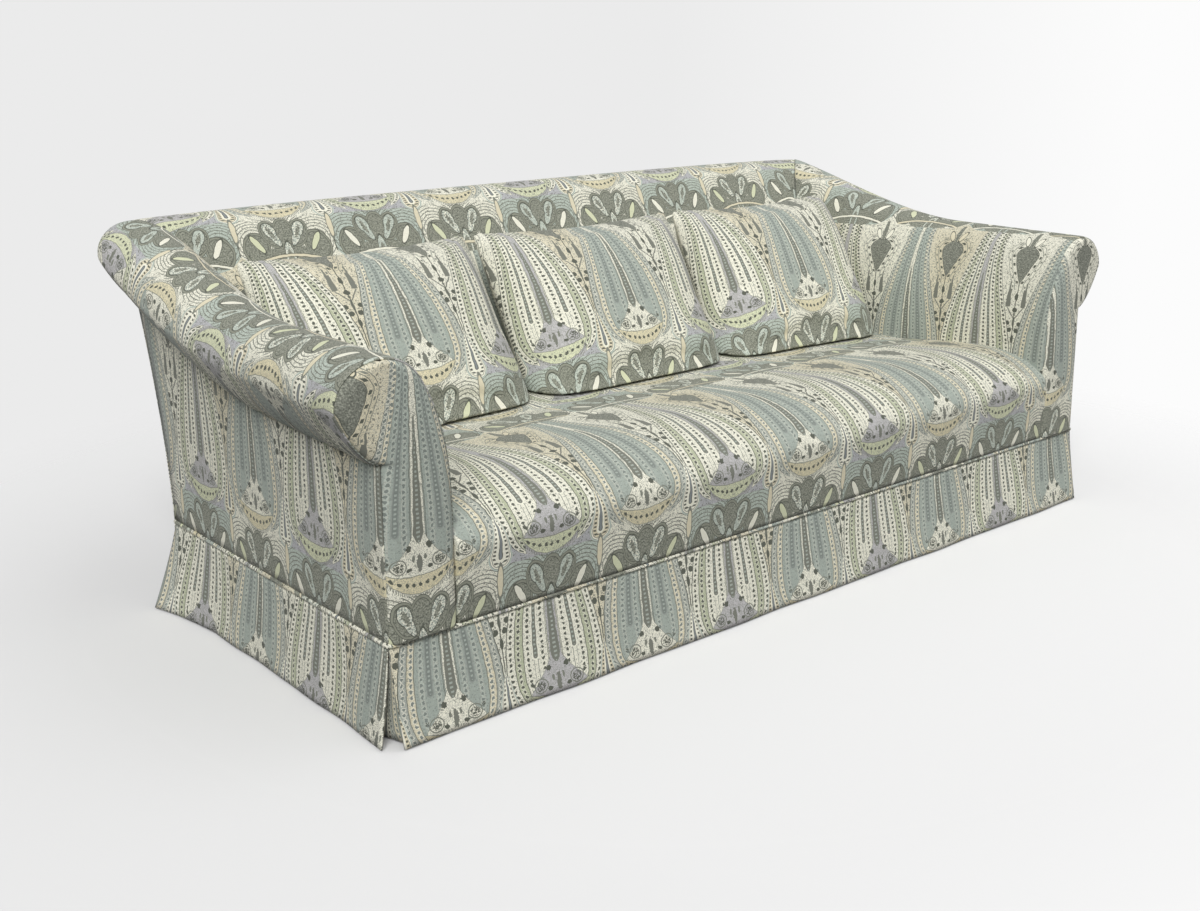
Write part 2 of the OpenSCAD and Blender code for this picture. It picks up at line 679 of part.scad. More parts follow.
// The arm's front panel: its outline is drawn in towards the face
module right_arm_front_panel() {
  steps = [[0.5, 0], [0.5, facing_t * 0.55], [2.2, facing_t * 0.85], [6, facing_t]];
  rings = [for (s = steps) [for (p = front_outline(s[0], panel_z0))
            [p[0], front_y - layer_gap - s[1], p[1]]]];
  n = len(rings[0]);
  last = (len(steps) - 1) * n;
  // Both faces are fans about a point inside the panel, between its stem and its roll
  hub = [arm_c_x(0) - 0.3 * arm_r(0), arm_c_z(0) - 0.6 * arm_r(0)];
  hubs = [[hub[0], rings[0][0][1], hub[1]], [hub[0], rings[len(steps) - 1][0][1], hub[1]]];
  rear_hub = len(steps) * n;
  color(COVER)
    polyhedron(points = concat(flat(rings), hubs), faces = concat(
      [for (r = [0 : len(steps) - 2], k = [0 : n - 1])
        let(a = r * n + k, b = r * n + (k + 1) % n) each tri(a, b, b + n, a + n)],
      [for (k = [0 : n - 1]) [rear_hub, (k + 1) % n, k]],
      [for (k = [0 : n - 1]) [rear_hub + 1, last + k, last + (k + 1) % n]]));
}
module dust_cover() {
  t = 1.5;
  x = post_x1;
  color(CLOTH)
    difference() {
      box([-x, front_post_y0, frame_z - t - wood_gap], [x, back_rail_y1, frame_z - wood_gap]);
      for (p = leg_places)
        translate([p[0], p[1], frame_z])
          cube([leg_w + 2, leg_w + 2, 4 * t], center = true);
    }
}

// Skirt panels: row i runs down from the piping, the hem stands out
SKIRT_ROWS = 3;
skirt_z1 = skirt_top - piping_d / 2 - 0.5;
function down(i) = i / SKIRT_ROWS;
function skirt_z(i) = mix(skirt_z1, hem_clear, down(i));
function flare(s, out) = out * pow(s, 1.2);
// Front and back panels: point j runs across
FRONT_COLUMNS = 10;
function front_skirt_y(s) = front_y - layer_gap - flare(s, hem_flare);
function front_skirt_point(i, j, d) =
  let(x = mix(-1, 1, j / FRONT_COLUMNS) * (half_w - pleat_open * down(i) - 0.5))
  [x, front_skirt_y(down(i)) - d, skirt_z(i)];
function front_skirt_grid(d) =
  [for (i = [0 : SKIRT_ROWS]) [for (j = [0 : FRONT_COLUMNS]) front_skirt_point(i, j, d)]];
module skirt_front() {
  color(COVER) layer(front_skirt_grid(skirt_t), front_skirt_grid(0));
}
module at_back() {
  translate([0, front_y + rear_y, 0]) mirror([0, 1, 0]) children();
}
module skirt_back() {
  color(COVER) at_back() layer(front_skirt_grid(skirt_t), front_skirt_grid(0));
}
// Side panels: they kick out more over the last stretch before the back corner
SIDE_COLUMNS = 10;
function side_skirt_point(i, j, d) =
  let(t = j / SIDE_COLUMNS,
      kick = pow(max(0, (t - 0.75) / 0.25), 1.4),
      y = mix(front_y - 14 * down(i) + 3, rear_y - 3 + 4 * down(i), t),
      out = mix(side_flare + 8 * pow(1 - t, 6), rear_flare, kick))
  [half_w + flare(down(i), out) - d, y, skirt_z(i)];
function side_skirt_grid(d) =
  [for (i = [0 : SKIRT_ROWS]) [for (j = [0 : SIDE_COLUMNS]) side_skirt_point(i, j, d)]];
module skirt_right() {
  color(COVER) layer(side_skirt_grid(0), side_skirt_grid(skirt_t));
}
// Inverted kick pleats: a folded piece behind the two flaps of each corner.
// Its plan at the share s of the drop runs from behind the front to behind the side.
PLEAT_ROWS = 3;
pleat_t = 2;
pleat_top_z = frame_z - 3;
function pleat_plan(s) = [
  [half_w - 90, front_skirt_y(s) + layer_gap],
  [half_w - 6 - 7 * s, front_y - 15 * s],
  [half_w - 3 + 5 * s, front_y + 12 + 25 * s],
  [half_w - skirt_t - layer_gap + flare(s, side_flare), front_y + 110]];
pleat_in = [[0, 1], [-1, 1], [-1, 0.5], [-1, 0]];
function pleat_grid(d) =
  [for (i = [0 : PLEAT_ROWS])
    let(z = mix(pleat_top_z, hem_clear + 1, i / PLEAT_ROWS),
        plan = pleat_plan((skirt_z1 - z) / (skirt_z1 - hem_clear)))
    [for (k = [0 : 3]) let(p = plan[k] + pleat_in[k] * d) [p[0], p[1], z]]];
module kick_pleats() {
  color(COVER)
    both_sides() {
      layer(pleat_grid(0), pleat_grid(pleat_t));
      at_back() layer(pleat_grid(0), pleat_grid(pleat_t));
    }
}
// Piping round the base, with small rounded corners
module skirt_piping() {
  r = 6;
  out = piping_d / 2;
  x = half_w - r;
  y0 = front_y - seat_foot_out + out - 1 + r;
  y1 = rear_y - r;
  color(PIPING) {
    for (y = [y0 - r, y1 + r])
      translate([-x, y, piping_z]) rotate([0, 90, 0]) cylinder(h = 2 * x, d = piping_d, $fn = 24);
    for (side = [-half_w, half_w])
      translate([side, y0, piping_z]) rotate([-90, 0, 0])
        cylinder(h = y1 - y0, d = piping_d, $fn = 24);
    for (c = [[x, y1, 0], [-x, y1, 90], [-x, y0, 180], [x, y0, 270]])
      translate([c[0], c[1], piping_z]) rotate([0, 0, c[2]])
        rotate_extrude(angle = 90, $fn = 48) translate([r, 0]) circle(d = piping_d, $fn = 24);
  }
}

// A back cushion. Column a runs from -1 to 1 across, row v from 0 at the seat to 1 on top
CUSHION_COLUMNS = 10;
CUSHION_ROWS = 9;
third = (2 * (seat_half - 3) - 2 * cushion_gap) / 3;
function cushion_side(place, right) =
  (place * (third + cushion_gap)) + (right ? third / 2 : -third / 2);
function cushion_lean(place, right) =
  place == 0 ? (right ? cushion_splay : -cushion_splay) : place * cushion_splay;
function column(j) = sin(90 * (2 * j / CUSHION_COLUMNS - 1));
function row(i) = sin(90 * i / CUSHION_ROWS) * 0.5 + 0.5 * i / CUSHION_ROWS;
// Fullness up the cushion: broad where it stands on the seat, thin at its top seam
function fullness(v) =
  v < 0.3 ? 1 - 0.03 * pow(1 - v / 0.3, 2) : pow(max(0, 1 - pow((v - 0.3) / 0.7, 2.6)), 0.6);
function across(a, v) = pow(max(0, 1 - pow(abs(a), mix(7, 3.6, ease(v / 0.4)))), 0.55);
function half_thick(a, v, d) =
  max(seam_t / 2, cushion_t / 2 * fullness(v) * across(a, v)) - d;
// Drawn-in sides: the outline is narrower between its corners
function draw_in(v) = 7 * sin(180 * min(1, max(0, v))) + 1;
function cushion_point(place, j, i, d, face) =
  let(a = column(j), v = row(i), s = v * (cushion_len - cushion_dip * (1 - a * a) - d),
      x0 = cushion_side(place, false) + cushion_lean(place, false) * s + draw_in(v) + d,
      x1 = cushion_side(place, true) + cushion_lean(place, true) * s - draw_in(v) - d,
      x = mix(x0, x1, (a + 1) / 2),
      tilt = recline * ease(v / 0.35), t = half_thick(a, v, d) * face,
      drop = seat_side_drop(x) * pow(1 - v, 3))
  [x, cushion_mid_y - (cushion_len - s) * sin(recline) - t * cos(tilt),
   cushion_seat_z + s * cos(recline) + t * sin(tilt) * 0.97 - drop];
function cushion_loop(place, i, d) = concat(
  [for (j = [0 : CUSHION_COLUMNS]) cushion_point(place, j, i, d, 1)],
  [for (j = [CUSHION_COLUMNS : -1 : 0]) cushion_point(place, j, i, d, -1)]);
function lifted(loop, lift) = [for (p = loop) p + [0, 0, lift]];
LOOP = 2 * (CUSHION_COLUMNS + 1);
// Side faces of stacked loops, and the faces that close the first or the last loop
function loop_faces(rows, base, turn) =
  [for (i = [0 : rows - 1], k = [0 : LOOP - 1])
    let(a = base + i * LOOP + k, b = base + i * LOOP + (k + 1) % LOOP, c = b + LOOP, d = a + LOOP)
    each turn ? [[a, c, b], [a, d, c]] : tri(a, b, c, d)];
function top_faces(base, turn) =
  [for (k = [0 : CUSHION_COLUMNS - 1])
    let(a = base + k, b = a + 1, c = base + LOOP - 2 - k, d = c + 1)
    each turn ? [[a, c, b], [a, d, c]] : tri(a, b, c, d)];

module cushion_cover(place) {
  outer = [for (i = [0 : CUSHION_ROWS]) each cushion_loop(place, i, 0)];
  inner = [for (i = [0 : CUSHION_ROWS]) each cushion_loop(place, i, cover_t)];
  n = (CUSHION_ROWS + 1) * LOOP;
  color(COVER)
    polyhedron(points = concat(outer, inner), faces = concat(
      loop_faces(CUSHION_ROWS, 0, true), top_faces(CUSHION_ROWS * LOOP, true),
      loop_faces(CUSHION_ROWS, n, false), top_faces(n + CUSHION_ROWS * LOOP, false),
      [for (k = [0 : LOOP - 1])
        let(b = (k + 1) % LOOP) each tri(k, b, n + b, n + k)]));
}
// The filling's lowest loop lies a tenth of a row up, above the zip panel
module cushion_filling(place) {
  d = cover_t + 2 * layer_gap;
  low = mix(cushion_loop(place, 0, d), cushion_loop(place, 1, d), 0.12);
  points = concat(low, [for (i = [1 : CUSHION_ROWS]) each cushion_loop(place, i, d)]);
  color(FOAM)
    polyhedron(points = points, faces = concat(
      loop_faces(CUSHION_ROWS, 0, true), top_faces(CUSHION_ROWS * LOOP, true),
      top_faces(0, false)));
}
// The panel with the zip closes the bottom of the cover
module cushion_zip_panel(place) {
  d = cover_t + layer_gap;
  low = lifted(cushion_loop(place, 0, d + 0.5), layer_gap);
  high = lifted(cushion_loop(place, 0, d + zip_panel_t + 1), layer_gap + zip_panel_t);
  color(COVER)
    polyhedron(points = concat(low, high), faces = concat(
      loop_faces(1, 0, true), top_faces(LOOP, true), top_faces(0, false)));
}

front_seat_rail();
back_seat_rail();
on_left() right_side_rail();  // left_side_rail
right_side_rail();
seat_cross_rails();
corner_blocks();
on_left() right_front_post();  // left_front_post
right_front_post();
on_left() right_back_post();  // left_back_post
right_back_post();
lower_back_rail();
top_back_rail();
back_uprights();
on_left() right_arm_top_rail();  // left_arm_top_rail
right_arm_top_rail();
on_left() right_arm_lower_rail();  // left_arm_lower_rail
right_arm_lower_rail();
legs();
leg_glides();
seat_springs();
spring_clips();
seat_platform();
back_webbing();
on_left() right_arm_lining();  // left_arm_lining
right_arm_lining();
seat_padding();
back_padding();
on_left() right_arm_padding();  // left_arm_padding
right_arm_padding();
seat_cover();
inside_back_cover();
outside_back_cover();
on_left() right_arm_cover();  // left_arm_cover
right_arm_cover();
on_left() right_arm_outside_cover();  // left_arm_outside_cover
right_arm_outside_cover();
on_left() right_arm_front_panel();  // left_arm_front_panel
right_arm_front_panel();
dust_cover();
skirt_front();
skirt_back();
on_left() skirt_right();  // skirt_left
skirt_right();
kick_pleats();
skirt_piping();
cushion_cover(-1);  // left_cushion_cover
cushion_filling(-1);  // left_cushion_filling
cushion_zip_panel(-1);  // left_cushion_zip_panel
cushion_cover(0);  // centre_cushion_cover
cushion_filling(0);  // centre_cushion_filling
cushion_zip_panel(0);  // centre_cushion_zip_panel
cushion_cover(1);  // right_cushion_cover
cushion_filling(1);  // right_cushion_filling
cushion_zip_panel(1);  // right_cushion_zip_panel
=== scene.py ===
"""A three-seater sofa with scroll arms that sweep up into a rolled back, in printed cloth."""
import json
import logging
import math
from dataclasses import dataclass
from enum import Enum
from typing import Any, Callable, Sequence

import bmesh
import bpy
from mathutils import Matrix, Vector

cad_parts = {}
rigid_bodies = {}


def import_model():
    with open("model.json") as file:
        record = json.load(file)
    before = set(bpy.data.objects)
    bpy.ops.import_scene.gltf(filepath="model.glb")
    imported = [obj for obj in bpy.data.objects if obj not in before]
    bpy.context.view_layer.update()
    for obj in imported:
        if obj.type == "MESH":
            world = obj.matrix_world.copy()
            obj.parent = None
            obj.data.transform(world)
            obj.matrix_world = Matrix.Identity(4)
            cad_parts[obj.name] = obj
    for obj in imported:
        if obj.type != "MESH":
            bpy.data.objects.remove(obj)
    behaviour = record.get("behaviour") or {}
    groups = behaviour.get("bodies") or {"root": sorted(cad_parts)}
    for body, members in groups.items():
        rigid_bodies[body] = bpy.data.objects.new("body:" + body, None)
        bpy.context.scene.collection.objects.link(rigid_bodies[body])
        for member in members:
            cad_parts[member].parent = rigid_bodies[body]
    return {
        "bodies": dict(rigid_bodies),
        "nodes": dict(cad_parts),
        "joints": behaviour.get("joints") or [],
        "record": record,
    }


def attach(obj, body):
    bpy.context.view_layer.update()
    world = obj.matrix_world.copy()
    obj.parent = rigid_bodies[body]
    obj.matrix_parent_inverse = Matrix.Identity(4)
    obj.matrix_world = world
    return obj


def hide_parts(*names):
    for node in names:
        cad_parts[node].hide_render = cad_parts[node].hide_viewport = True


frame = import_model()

LOG = logging.getLogger("sofa")
BODY = "sofa_body"
MM = 0.001
Finish = bpy.types.Material
Piece = bpy.types.Object
Place = Callable[[float, float], Vector]
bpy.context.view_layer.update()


def mix(a: float, b: float, t: float) -> float:
    """Blend from a at t = 0 to b at t = 1."""
    return a + (b - a) * t


def clamp(t: float, low: float = 0.0, high: float = 1.0) -> float:
    """Keep t between low and high."""
    return max(low, min(high, t))


def ease(t: float) -> float:
    """Blend smoothly from 0 to 1."""
    t = clamp(t)
    return t * t * (3 - 2 * t)


def hex_colour(code: str) -> tuple[float, float, float, float]:
    """Turn an sRGB hex colour into linear red, green, blue and alpha.

    Args:
        code: Six hex digits after a hash sign.

    Returns:
        The linear colour, opaque.
    """
    parts = [int(code[i : i + 2], 16) / 255 for i in (1, 3, 5)]
    linear = [c / 12.92 if c <= 0.04045 else ((c + 0.055) / 1.055) ** 2.4 for c in parts]
    return (*linear, 1.0)


class Side(Enum):
    """A side of the sofa, as it is seen from in front of it."""

    LEFT = -1
    RIGHT = 1

    @property
    def word(self) -> str:
        """The side's name in the frame's node names."""
        return self.name.lower()


@dataclass(frozen=True)
class Field:
    """A value that varies over a surface, held as one output of a node."""

    sketch: "Sketch"
    socket: bpy.types.NodeSocket

    def __add__(self, other: Any) -> "Field":
        """Add."""
        return self.sketch.add("Math", self, other, operation="ADD")

    def __sub__(self, other: Any) -> "Field":
        """Subtract."""
        return self.sketch.add("Math", self, other, operation="SUBTRACT")

    def __rsub__(self, other: Any) -> "Field":
        """Subtract from a number."""
        return self.sketch.add("Math", other, self, operation="SUBTRACT")

    def __mul__(self, other: Any) -> "Field":
        """Multiply."""
        return self.sketch.add("Math", self, other, operation="MULTIPLY")

    def __truediv__(self, other: Any) -> "Field":
        """Divide."""
        return self.sketch.add("Math", self, other, operation="DIVIDE")

    def __lt__(self, other: Any) -> "Field":
        """Give 1 where the field is less, else 0."""
        return self.sketch.add("Math", self, other, operation="LESS_THAN")

    def __gt__(self, other: Any) -> "Field":
        """Give 1 where the field is greater, else 0."""
        return self.sketch.add("Math", self, other, operation="GREATER_THAN")

    def __abs__(self) -> "Field":
        """Give the size without its sign."""
        return self.sketch.add("Math", self, operation="ABSOLUTE")


class Sketch:
    """The node tree of a material or world while it is drawn."""

    def __init__(self, name: str, owners: Any = None) -> None:
        """Start an empty material or world.

        Args:
            name: Its name.
            owners: Blender's list that it joins, which is that of the materials if none is given.
        """
        self.owner = (bpy.data.materials if owners is None else owners).new(name)
        self.owner.use_nodes = True
        self.tree = self.owner.node_tree
        self.tree.nodes.clear()

    def add(self, kind: str, *inputs: Any, out: int | str = 0, **settings: Any) -> Field:
        """Add one node with its settings and links.

        Args:
            kind: The node's type, without its ShaderNode prefix.
            inputs: Fields, numbers or colours for its sockets in order; None leaves one alone.
                A dict gives sockets by name instead.
            out: The output that is returned.
            settings: The node's own properties.

        Returns:
            The chosen output.
        """
        node = self.tree.nodes.new("ShaderNode" + kind)
        for key, value in settings.items():
            setattr(node, key, value)
        sockets = [s for s in node.inputs if s.enabled or kind == "Math"]
        given = [(sockets[k], x) for k, x in enumerate(inputs) if not isinstance(x, dict)]
        for named in (x for x in inputs if isinstance(x, dict)):
            given += [(node.inputs[key], x) for key, x in named.items()]
        for socket, value in given:
            if isinstance(value, Field):
                self.tree.links.new(value.socket, socket)
            elif value is not None:
                socket.default_value = value
        outputs = [s for s in node.outputs if s.enabled]
        return Field(self, node.outputs[out] if isinstance(out, str) else outputs[out])

    def bands(self, fac: Field, *stops: tuple[float, str], smooth: bool = False) -> Field:
        """Colour a field by bands that start at given values.

        Args:
            fac: The field, from 0 to 1.
            stops: Where each band starts, and its colour.
            smooth: Whether the bands run into each other.

        Returns:
            The colour.
        """
        colour = self.add("ValToRGB", fac)
        ramp = colour.socket.node.color_ramp
        ramp.interpolation = "LINEAR" if smooth else "CONSTANT"
        for position, code in stops[2:]:
            ramp.elements.new(position)
        for element, (position, code) in zip(ramp.elements, stops):
            element.position = position
            element.color = hex_colour(code)
        return colour

    def paint(self, under: Any, over: Any, where: Field | float) -> Field:
        """Lay one colour over another.

        Args:
            under: The colour or field below.
            over: The colour or field above.
            where: How much of the upper one shows.

        Returns:
            The mixed colour.
        """
        return self.add("Mix", where, under, over, data_type="RGBA")

    def finish(self, colour: Field, bump: Field, height: float, **shader: Any) -> Finish:
        """Close the tree with its shader.

        Args:
            colour: The base colour.
            bump: The surface's height, from 0 to 1.
            height: How high 1 stands, in metres.
            shader: The shader's sockets, with spaces as underscores.

        Returns:
            The material.
        """
        named = {key.replace("_", " "): value for key, value in shader.items()}
        normal = self.add("Bump", {"Height": bump, "Distance": height, "Strength": 1.0})
        body = self.add("BsdfPrincipled", {**named, "Base Color": colour, "Normal": normal})
        end = self.tree.nodes.new("ShaderNodeOutputMaterial")
        self.tree.links.new(body.socket, end.inputs["Surface"])
        return self.owner


@dataclass
class Spot:
    """Where a point lies in the print, in millimetres, and the colour that it has so far.

    Attributes:
        x: Distance from the middle of the motif.
        y: Height above the motif's foot.
        gap: Distance from the line between two motifs.
        slate: 1 in the slate motif, 0 in the lavender one.
        warm: 1 where the ground between motifs is gold, 0 where it is ivory.
        grit: Noise that breaks up edges and fills.
        scroll: 1 along fine wandering lines, as of a pen.
    """

    sketch: Sketch
    x: Field
    y: Field
    gap: Field
    slate: Field
    warm: Field
    grit: Field
    scroll: Field
    colour: Field | None = None

    def pick(self, slate: str, lavender: str) -> Field:
        """Choose a colour by the motif."""
        return self.sketch.paint(hex_colour(lavender), hex_colour(slate), self.slate)

    def lay(self, over: str | Field, where: Field) -> None:
        """Lay a colour over what is there."""
        over = hex_colour(over) if isinstance(over, str) else over
        self.colour = self.sketch.paint(self.colour, over, where)

    def leaf(
        self, x: float, y: float, wide: float, high: float, tilt: float = 0.0, between: bool = False
    ) -> Field:
        """Measure how far out the point lies in an ellipse.

        Args:
            x: The ellipse's middle, across.
            y: The ellipse's middle, up.
            wide: Half its width.
            high: Half its height.
            tilt: Degrees that its top leans out.
            between: Whether x counts from the line between two motifs.

        Returns:
            0 at the ellipse's middle and 1 at its edge.
        """
        add = self.sketch.add
        at = add("CombineXYZ", self.gap if between else self.x, self.y, 0.0)
        turn = (0.0, 0.0, -math.radians(tilt))
        shape = {"Location": (x, y, 0.0), "Rotation": turn, "Scale": (wide, high, 1.0)}
        inside = add("Mapping", {"Vector": at, **shape}, vector_type="TEXTURE")
        return add("VectorMath", inside, operation="LENGTH", out="Value")

    def drop(self, across: Field, low: float, wide: float, top: float, power: float) -> Field:
        """Measure how far out the point lies in a drop that hangs from a fine top.

        Args:
            across: Distance from the drop's axis.
            low: Height of its widest place.
            wide: Half its width there, and how far it reaches below that.
            top: Height of its top.
            power: How full it stays on the way up.

        Returns:
            0 on the axis and 1 at the edge.
        """
        add = self.sketch.add
        slim = add("MapRange", self.y, low, top, 1.0, 0.0)
        half = add("Math", slim, power, operation="POWER") * wide + 0.01
        under = add("Math", self.y - low, 0.0, operation="MINIMUM")
        return add("Math", across * across + under * under, 0.5, operation="POWER") / half


@dataclass(frozen=True)
class PaisleyPrint:
    """A traditional shawl pattern of tall nested arches over a row of leaf fans, in millimetres.

    Two motifs alternate across the cloth: one in slate blue with a gold foot, and one in
    lavender and ivory with a sage foot. Small drops hang between their feet and dark botehs
    stand between their tops.
    """

    spacing: float = 236.0
    repeat: float = 575.0
    lowest: float = -125.0
    widest: float = 115.0
    narrowing: float = 78.0
    dot_pitch: float = 10.5
    dot_radius: float = 3.2
    wobble: float = 4.0
    ink: str = "#61645a"
    soft_ink: str = "#83867b"
    ivory: str = "#f3f1e0"
    gold: str = "#e2dabf"
    sage: str = "#c2c7aa"
    slate: str = "#adb6ad"
    deep_slate: str = "#878e88"
    teal: str = "#c3cdc2"
    lavender: str = "#c4c2c2"
    charcoal: str = "#7f8177"
    olive: str = "#939587"
    yellow_green: str = "#dbdebd"
    lane_slate: str = "#bec2b7"
    rim_slate: str = "#b3b7ae"
    core_slate: str = "#9aa099"
    drop_slate: str = "#8a9091"
    pale_lavender: str = "#bfbfc2"
    foot_gold: str = "#e3dab5"
    worn_dark: str = "#a5a799"

    def draw(self, sketch: Sketch) -> Field:
        """Draw the print from the cloth's map.

        Args:
            sketch: The material that it is drawn in.

        Returns:
            The colour of the cloth.
        """
        add = sketch.add
        uv = add("UVMap", uv_map="cloth")
        drift = add("TexNoise", {"Vector": uv, "Scale": 60.0, "Detail": 1.0}, out="Color")
        drift = add("VectorMath", drift, (0.5, 0.5, 0.5), operation="SUBTRACT")
        drift = add("VectorMath", drift, {"Scale": self.wobble * MM}, operation="SCALE")
        place = add("VectorMath", uv, drift, operation="ADD")
        place = add("VectorMath", place, {"Scale": 1 / MM}, operation="SCALE")
        across = add("SeparateXYZ", place, out=0)
        across = add("Math", across, self.spacing, -self.spacing, operation="WRAP")
        half = self.spacing / 2
        slate = abs(across) < half
        x = abs(abs(across) - (1.0 - slate) * self.spacing)
        rise = add("MapRange", x, half - 55.0, half, 0.0, 1.0)
        rise = rise * rise * 30.0
        top = self.lowest + self.repeat
        y = add("Math", add("SeparateXYZ", place, out=1) - rise, top, self.lowest, operation="WRAP") + rise
        grit = add("TexNoise", {"Vector": place, "Scale": 0.28, "Detail": 2.0}, out="Fac")
        pen = add("TexNoise", {"Vector": place, "Scale": 0.11, "Detail": 1.0}, out="Fac")
        scroll = abs(add("Math", pen * 7.0, operation="FRACT") - 0.5) < 0.15
        spot = Spot(sketch, x, y, half - x, slate, across < 0.0, grit, scroll)
        self._ground(spot)
        self._between(spot)
        self._arches(spot)
        self._foot(spot)
        self._pendant(spot)
        self._fans(spot)
        fade = add("MapRange", grit, 0.3, 0.7, 0.93, 1.05)
        return add("VectorMath", spot.colour, {"Scale": fade}, operation="SCALE")

    def _ground(self, spot: Spot) -> None:
        """Lay the ground: gold or ivory high up, and scallops round the feet.

        Args:
            spot: The point that is coloured.
        """
        add = spot.sketch.add
        high = spot.y > 62.0
        warm = spot.warm * spot.grit * 1.6
        between = spot.sketch.paint(hex_colour(self.ivory), hex_colour(self.gold), warm)
        spot.colour = spot.sketch.paint(spot.pick(self.ivory, self.pale_lavender), between, high)
        low = spot.y < 2.0
        spot.lay(spot.pick(self.ivory, self.teal), low)
        rings = add("Math", spot.leaf(76.0, -62.0, 8.0, 8.0), operation="FRACT")
        spot.lay(self.soft_ink, (rings < 0.24) * low)
        flat = add("CombineXYZ", spot.x, spot.y, 0.0)
        ticks = add("TexVoronoi", {"Vector": flat, "Scale": 0.16}, out="Distance")
        spot.lay(self.ink, (ticks < 0.28) * 0.7)
        spot.lay(self.soft_ink, spot.scroll * 0.6)

    def _between(self, spot: Spot) -> None:
        """Lay what stands between the motifs' tops: a dark boteh on a branching stem.

        Args:
            spot: The point that is coloured.
        """
        add = spot.sketch.add
        grit = spot.grit
        for x, y, wide, high in (
            (0.0, 161.0, 4.6, 11.0), (10.5, 185.0, 6.5, 6.5), (17.0, 203.0, 6.5, 6.0),
            (0.0, 238.0, 8.0, 7.0), (0.0, 272.0, 5.0, 11.0), (11.0, 297.0, 6.0, 6.0),
        ):
            spot.lay(self.ink, spot.leaf(x, y, wide, high, between=True) + grit * 0.7 < 1.3)
        rise = spot.y - 214.0
        arms = (abs(spot.gap - rise * 0.8) < 1.8) * (rise > 0.0) * (rise < 30.0)
        spot.lay(self.charcoal, arms)
        spot.lay(self.charcoal, spot.leaf(0.0, 204.0, 3.8, 13.0, between=True) < 1.0)
        side_drop = spot.drop(abs(spot.gap - 23.0), 252.0, 7.0, 352.0, 0.8)
        spot.lay(self.charcoal, side_drop < 1.0)
        slim = add("MapRange", spot.y, 309.0, 380.0, 0.0, 1.0)
        half = add("Math", slim, 0.85, operation="POWER") * 33.0 + 0.01
        above = add("Math", spot.y - 380.0, 0.0, operation="MAXIMUM") * 1.2
        off = add("Math", spot.gap * spot.gap + above * above, 0.5, operation="POWER") - half
        collar = (spot.y > 292.0) * (spot.y < 436.0)
        frame = spot.sketch.paint(hex_colour(self.ivory), hex_colour(self.gold), spot.warm)
        spot.lay(self.soft_ink, (off < 24.0) * collar)
        beads = add("Math", spot.y / 23.0, operation="FRACT")
        spot.lay(frame, (off < 22.6) * collar)
        spot.lay(self.soft_ink, (abs(off - 13.5) < 0.9) * collar)
        spot.lay(self.soft_ink, spot.scroll * (off < 22.6) * collar * 0.6)
        spot.lay(self.ink, (abs(off - 7.0) < 3.4) * (abs(beads - 0.5) < 0.15) * collar)
        spot.lay(self.soft_ink, (abs(off - 18.5) < 2.2) * (abs(beads - 0.5) > 0.38) * collar)
        dark = spot.sketch.bands(
            grit, (0.36, self.ink), (0.5, self.charcoal), (0.64, self.worn_dark), smooth=True,
        )
        dark = spot.sketch.paint(dark, hex_colour(self.soft_ink), spot.scroll * 0.8)
        spot.lay(self.ink, off < 1.2)
        spot.lay(dark, off < 0.0)
        stem = spot.leaf(0.0, 432.0, 6.0, 34.0, between=True)
        spot.lay(dark, stem < 1.0)
        scroll = spot.leaf(17.0, 424.0, 6.0, 16.0, 24.0, between=True)
        spot.lay(self.ink, scroll < 1.25)
        spot.lay(frame, scroll < 1.0)

    def _arches(self, spot: Spot) -> None:
        """Lay the nested arches.

        Args:
            spot: The point that is coloured.
        """
        add = spot.sketch.add
        rise = add("MapRange", spot.y, 95.0, 455.0, 0.0, 1.0, interpolation_type="SMOOTHSTEP")
        bowl = add("Math", add("MapRange", spot.y, 0.0, 100.0, 1.0, 0.0), 2.6, operation="POWER")
        bowl = add("Math", 1.0 - bowl, 0.5, operation="POWER")
        edge = (self.widest - rise * self.narrowing) * bowl + 0.01
        share = spot.x / edge
        slate_rows = spot.sketch.bands(
            share, (0.0, self.slate), (0.135, self.ink), (0.145, self.slate), (0.20, self.lane_slate),
            (0.30, self.slate), (0.50, self.lane_slate), (0.60, self.slate), (0.675, self.soft_ink),
            (0.69, self.gold), (0.82, self.soft_ink), (0.835, self.rim_slate), (0.98, self.ink),
        )
        lavender_rows = spot.sketch.bands(
            share, (0.0, self.ivory), (0.135, self.ink), (0.145, self.ivory), (0.355, self.soft_ink),
            (0.365, self.ivory), (0.435, self.soft_ink), (0.445, self.ivory), (0.635, self.ink),
            (0.65, self.sage), (0.81, self.ink), (0.825, self.ivory), (0.98, self.ink),
        )
        rows = spot.sketch.paint(lavender_rows, slate_rows, spot.slate)
        inside = share < 1.0
        spot.lay(rows, inside)
        spot.lay(self.soft_ink, spot.scroll * inside * 0.35)
        flat = add("CombineXYZ", spot.x, spot.y, 0.0)
        figures = add("TexVoronoi", {"Vector": flat, "Scale": 0.2}, out="Distance")
        spot.lay(spot.pick(self.deep_slate, self.soft_ink), (figures < 0.30) * inside * 0.6)
        outer = share > 0.70
        start = outer * 0.5625 + 0.10
        pitch = 0.30 - outer * 0.135
        lane = (share - start) / pitch
        off = (add("Math", lane, operation="FRACT") - 0.5) * pitch * edge
        step = spot.y / self.dot_pitch + add("Math", lane, operation="FLOOR") * 0.5
        along = (add("Math", step, operation="FRACT") - 0.5) * self.dot_pitch
        reach = add("Math", off * off + along * along, 0.5, operation="POWER") + (spot.grit - 0.5) * 7.0
        dot = (reach < self.dot_radius) * inside
        ring = spot.sketch.paint(spot.pick(self.teal, self.ivory), hex_colour(self.ivory), outer)
        spot.lay(ring, (reach < self.dot_radius + 1.5) * inside * (share > 0.13) * 0.7)
        spot.lay(spot.pick(self.deep_slate, self.ink), dot * (share > 0.13))
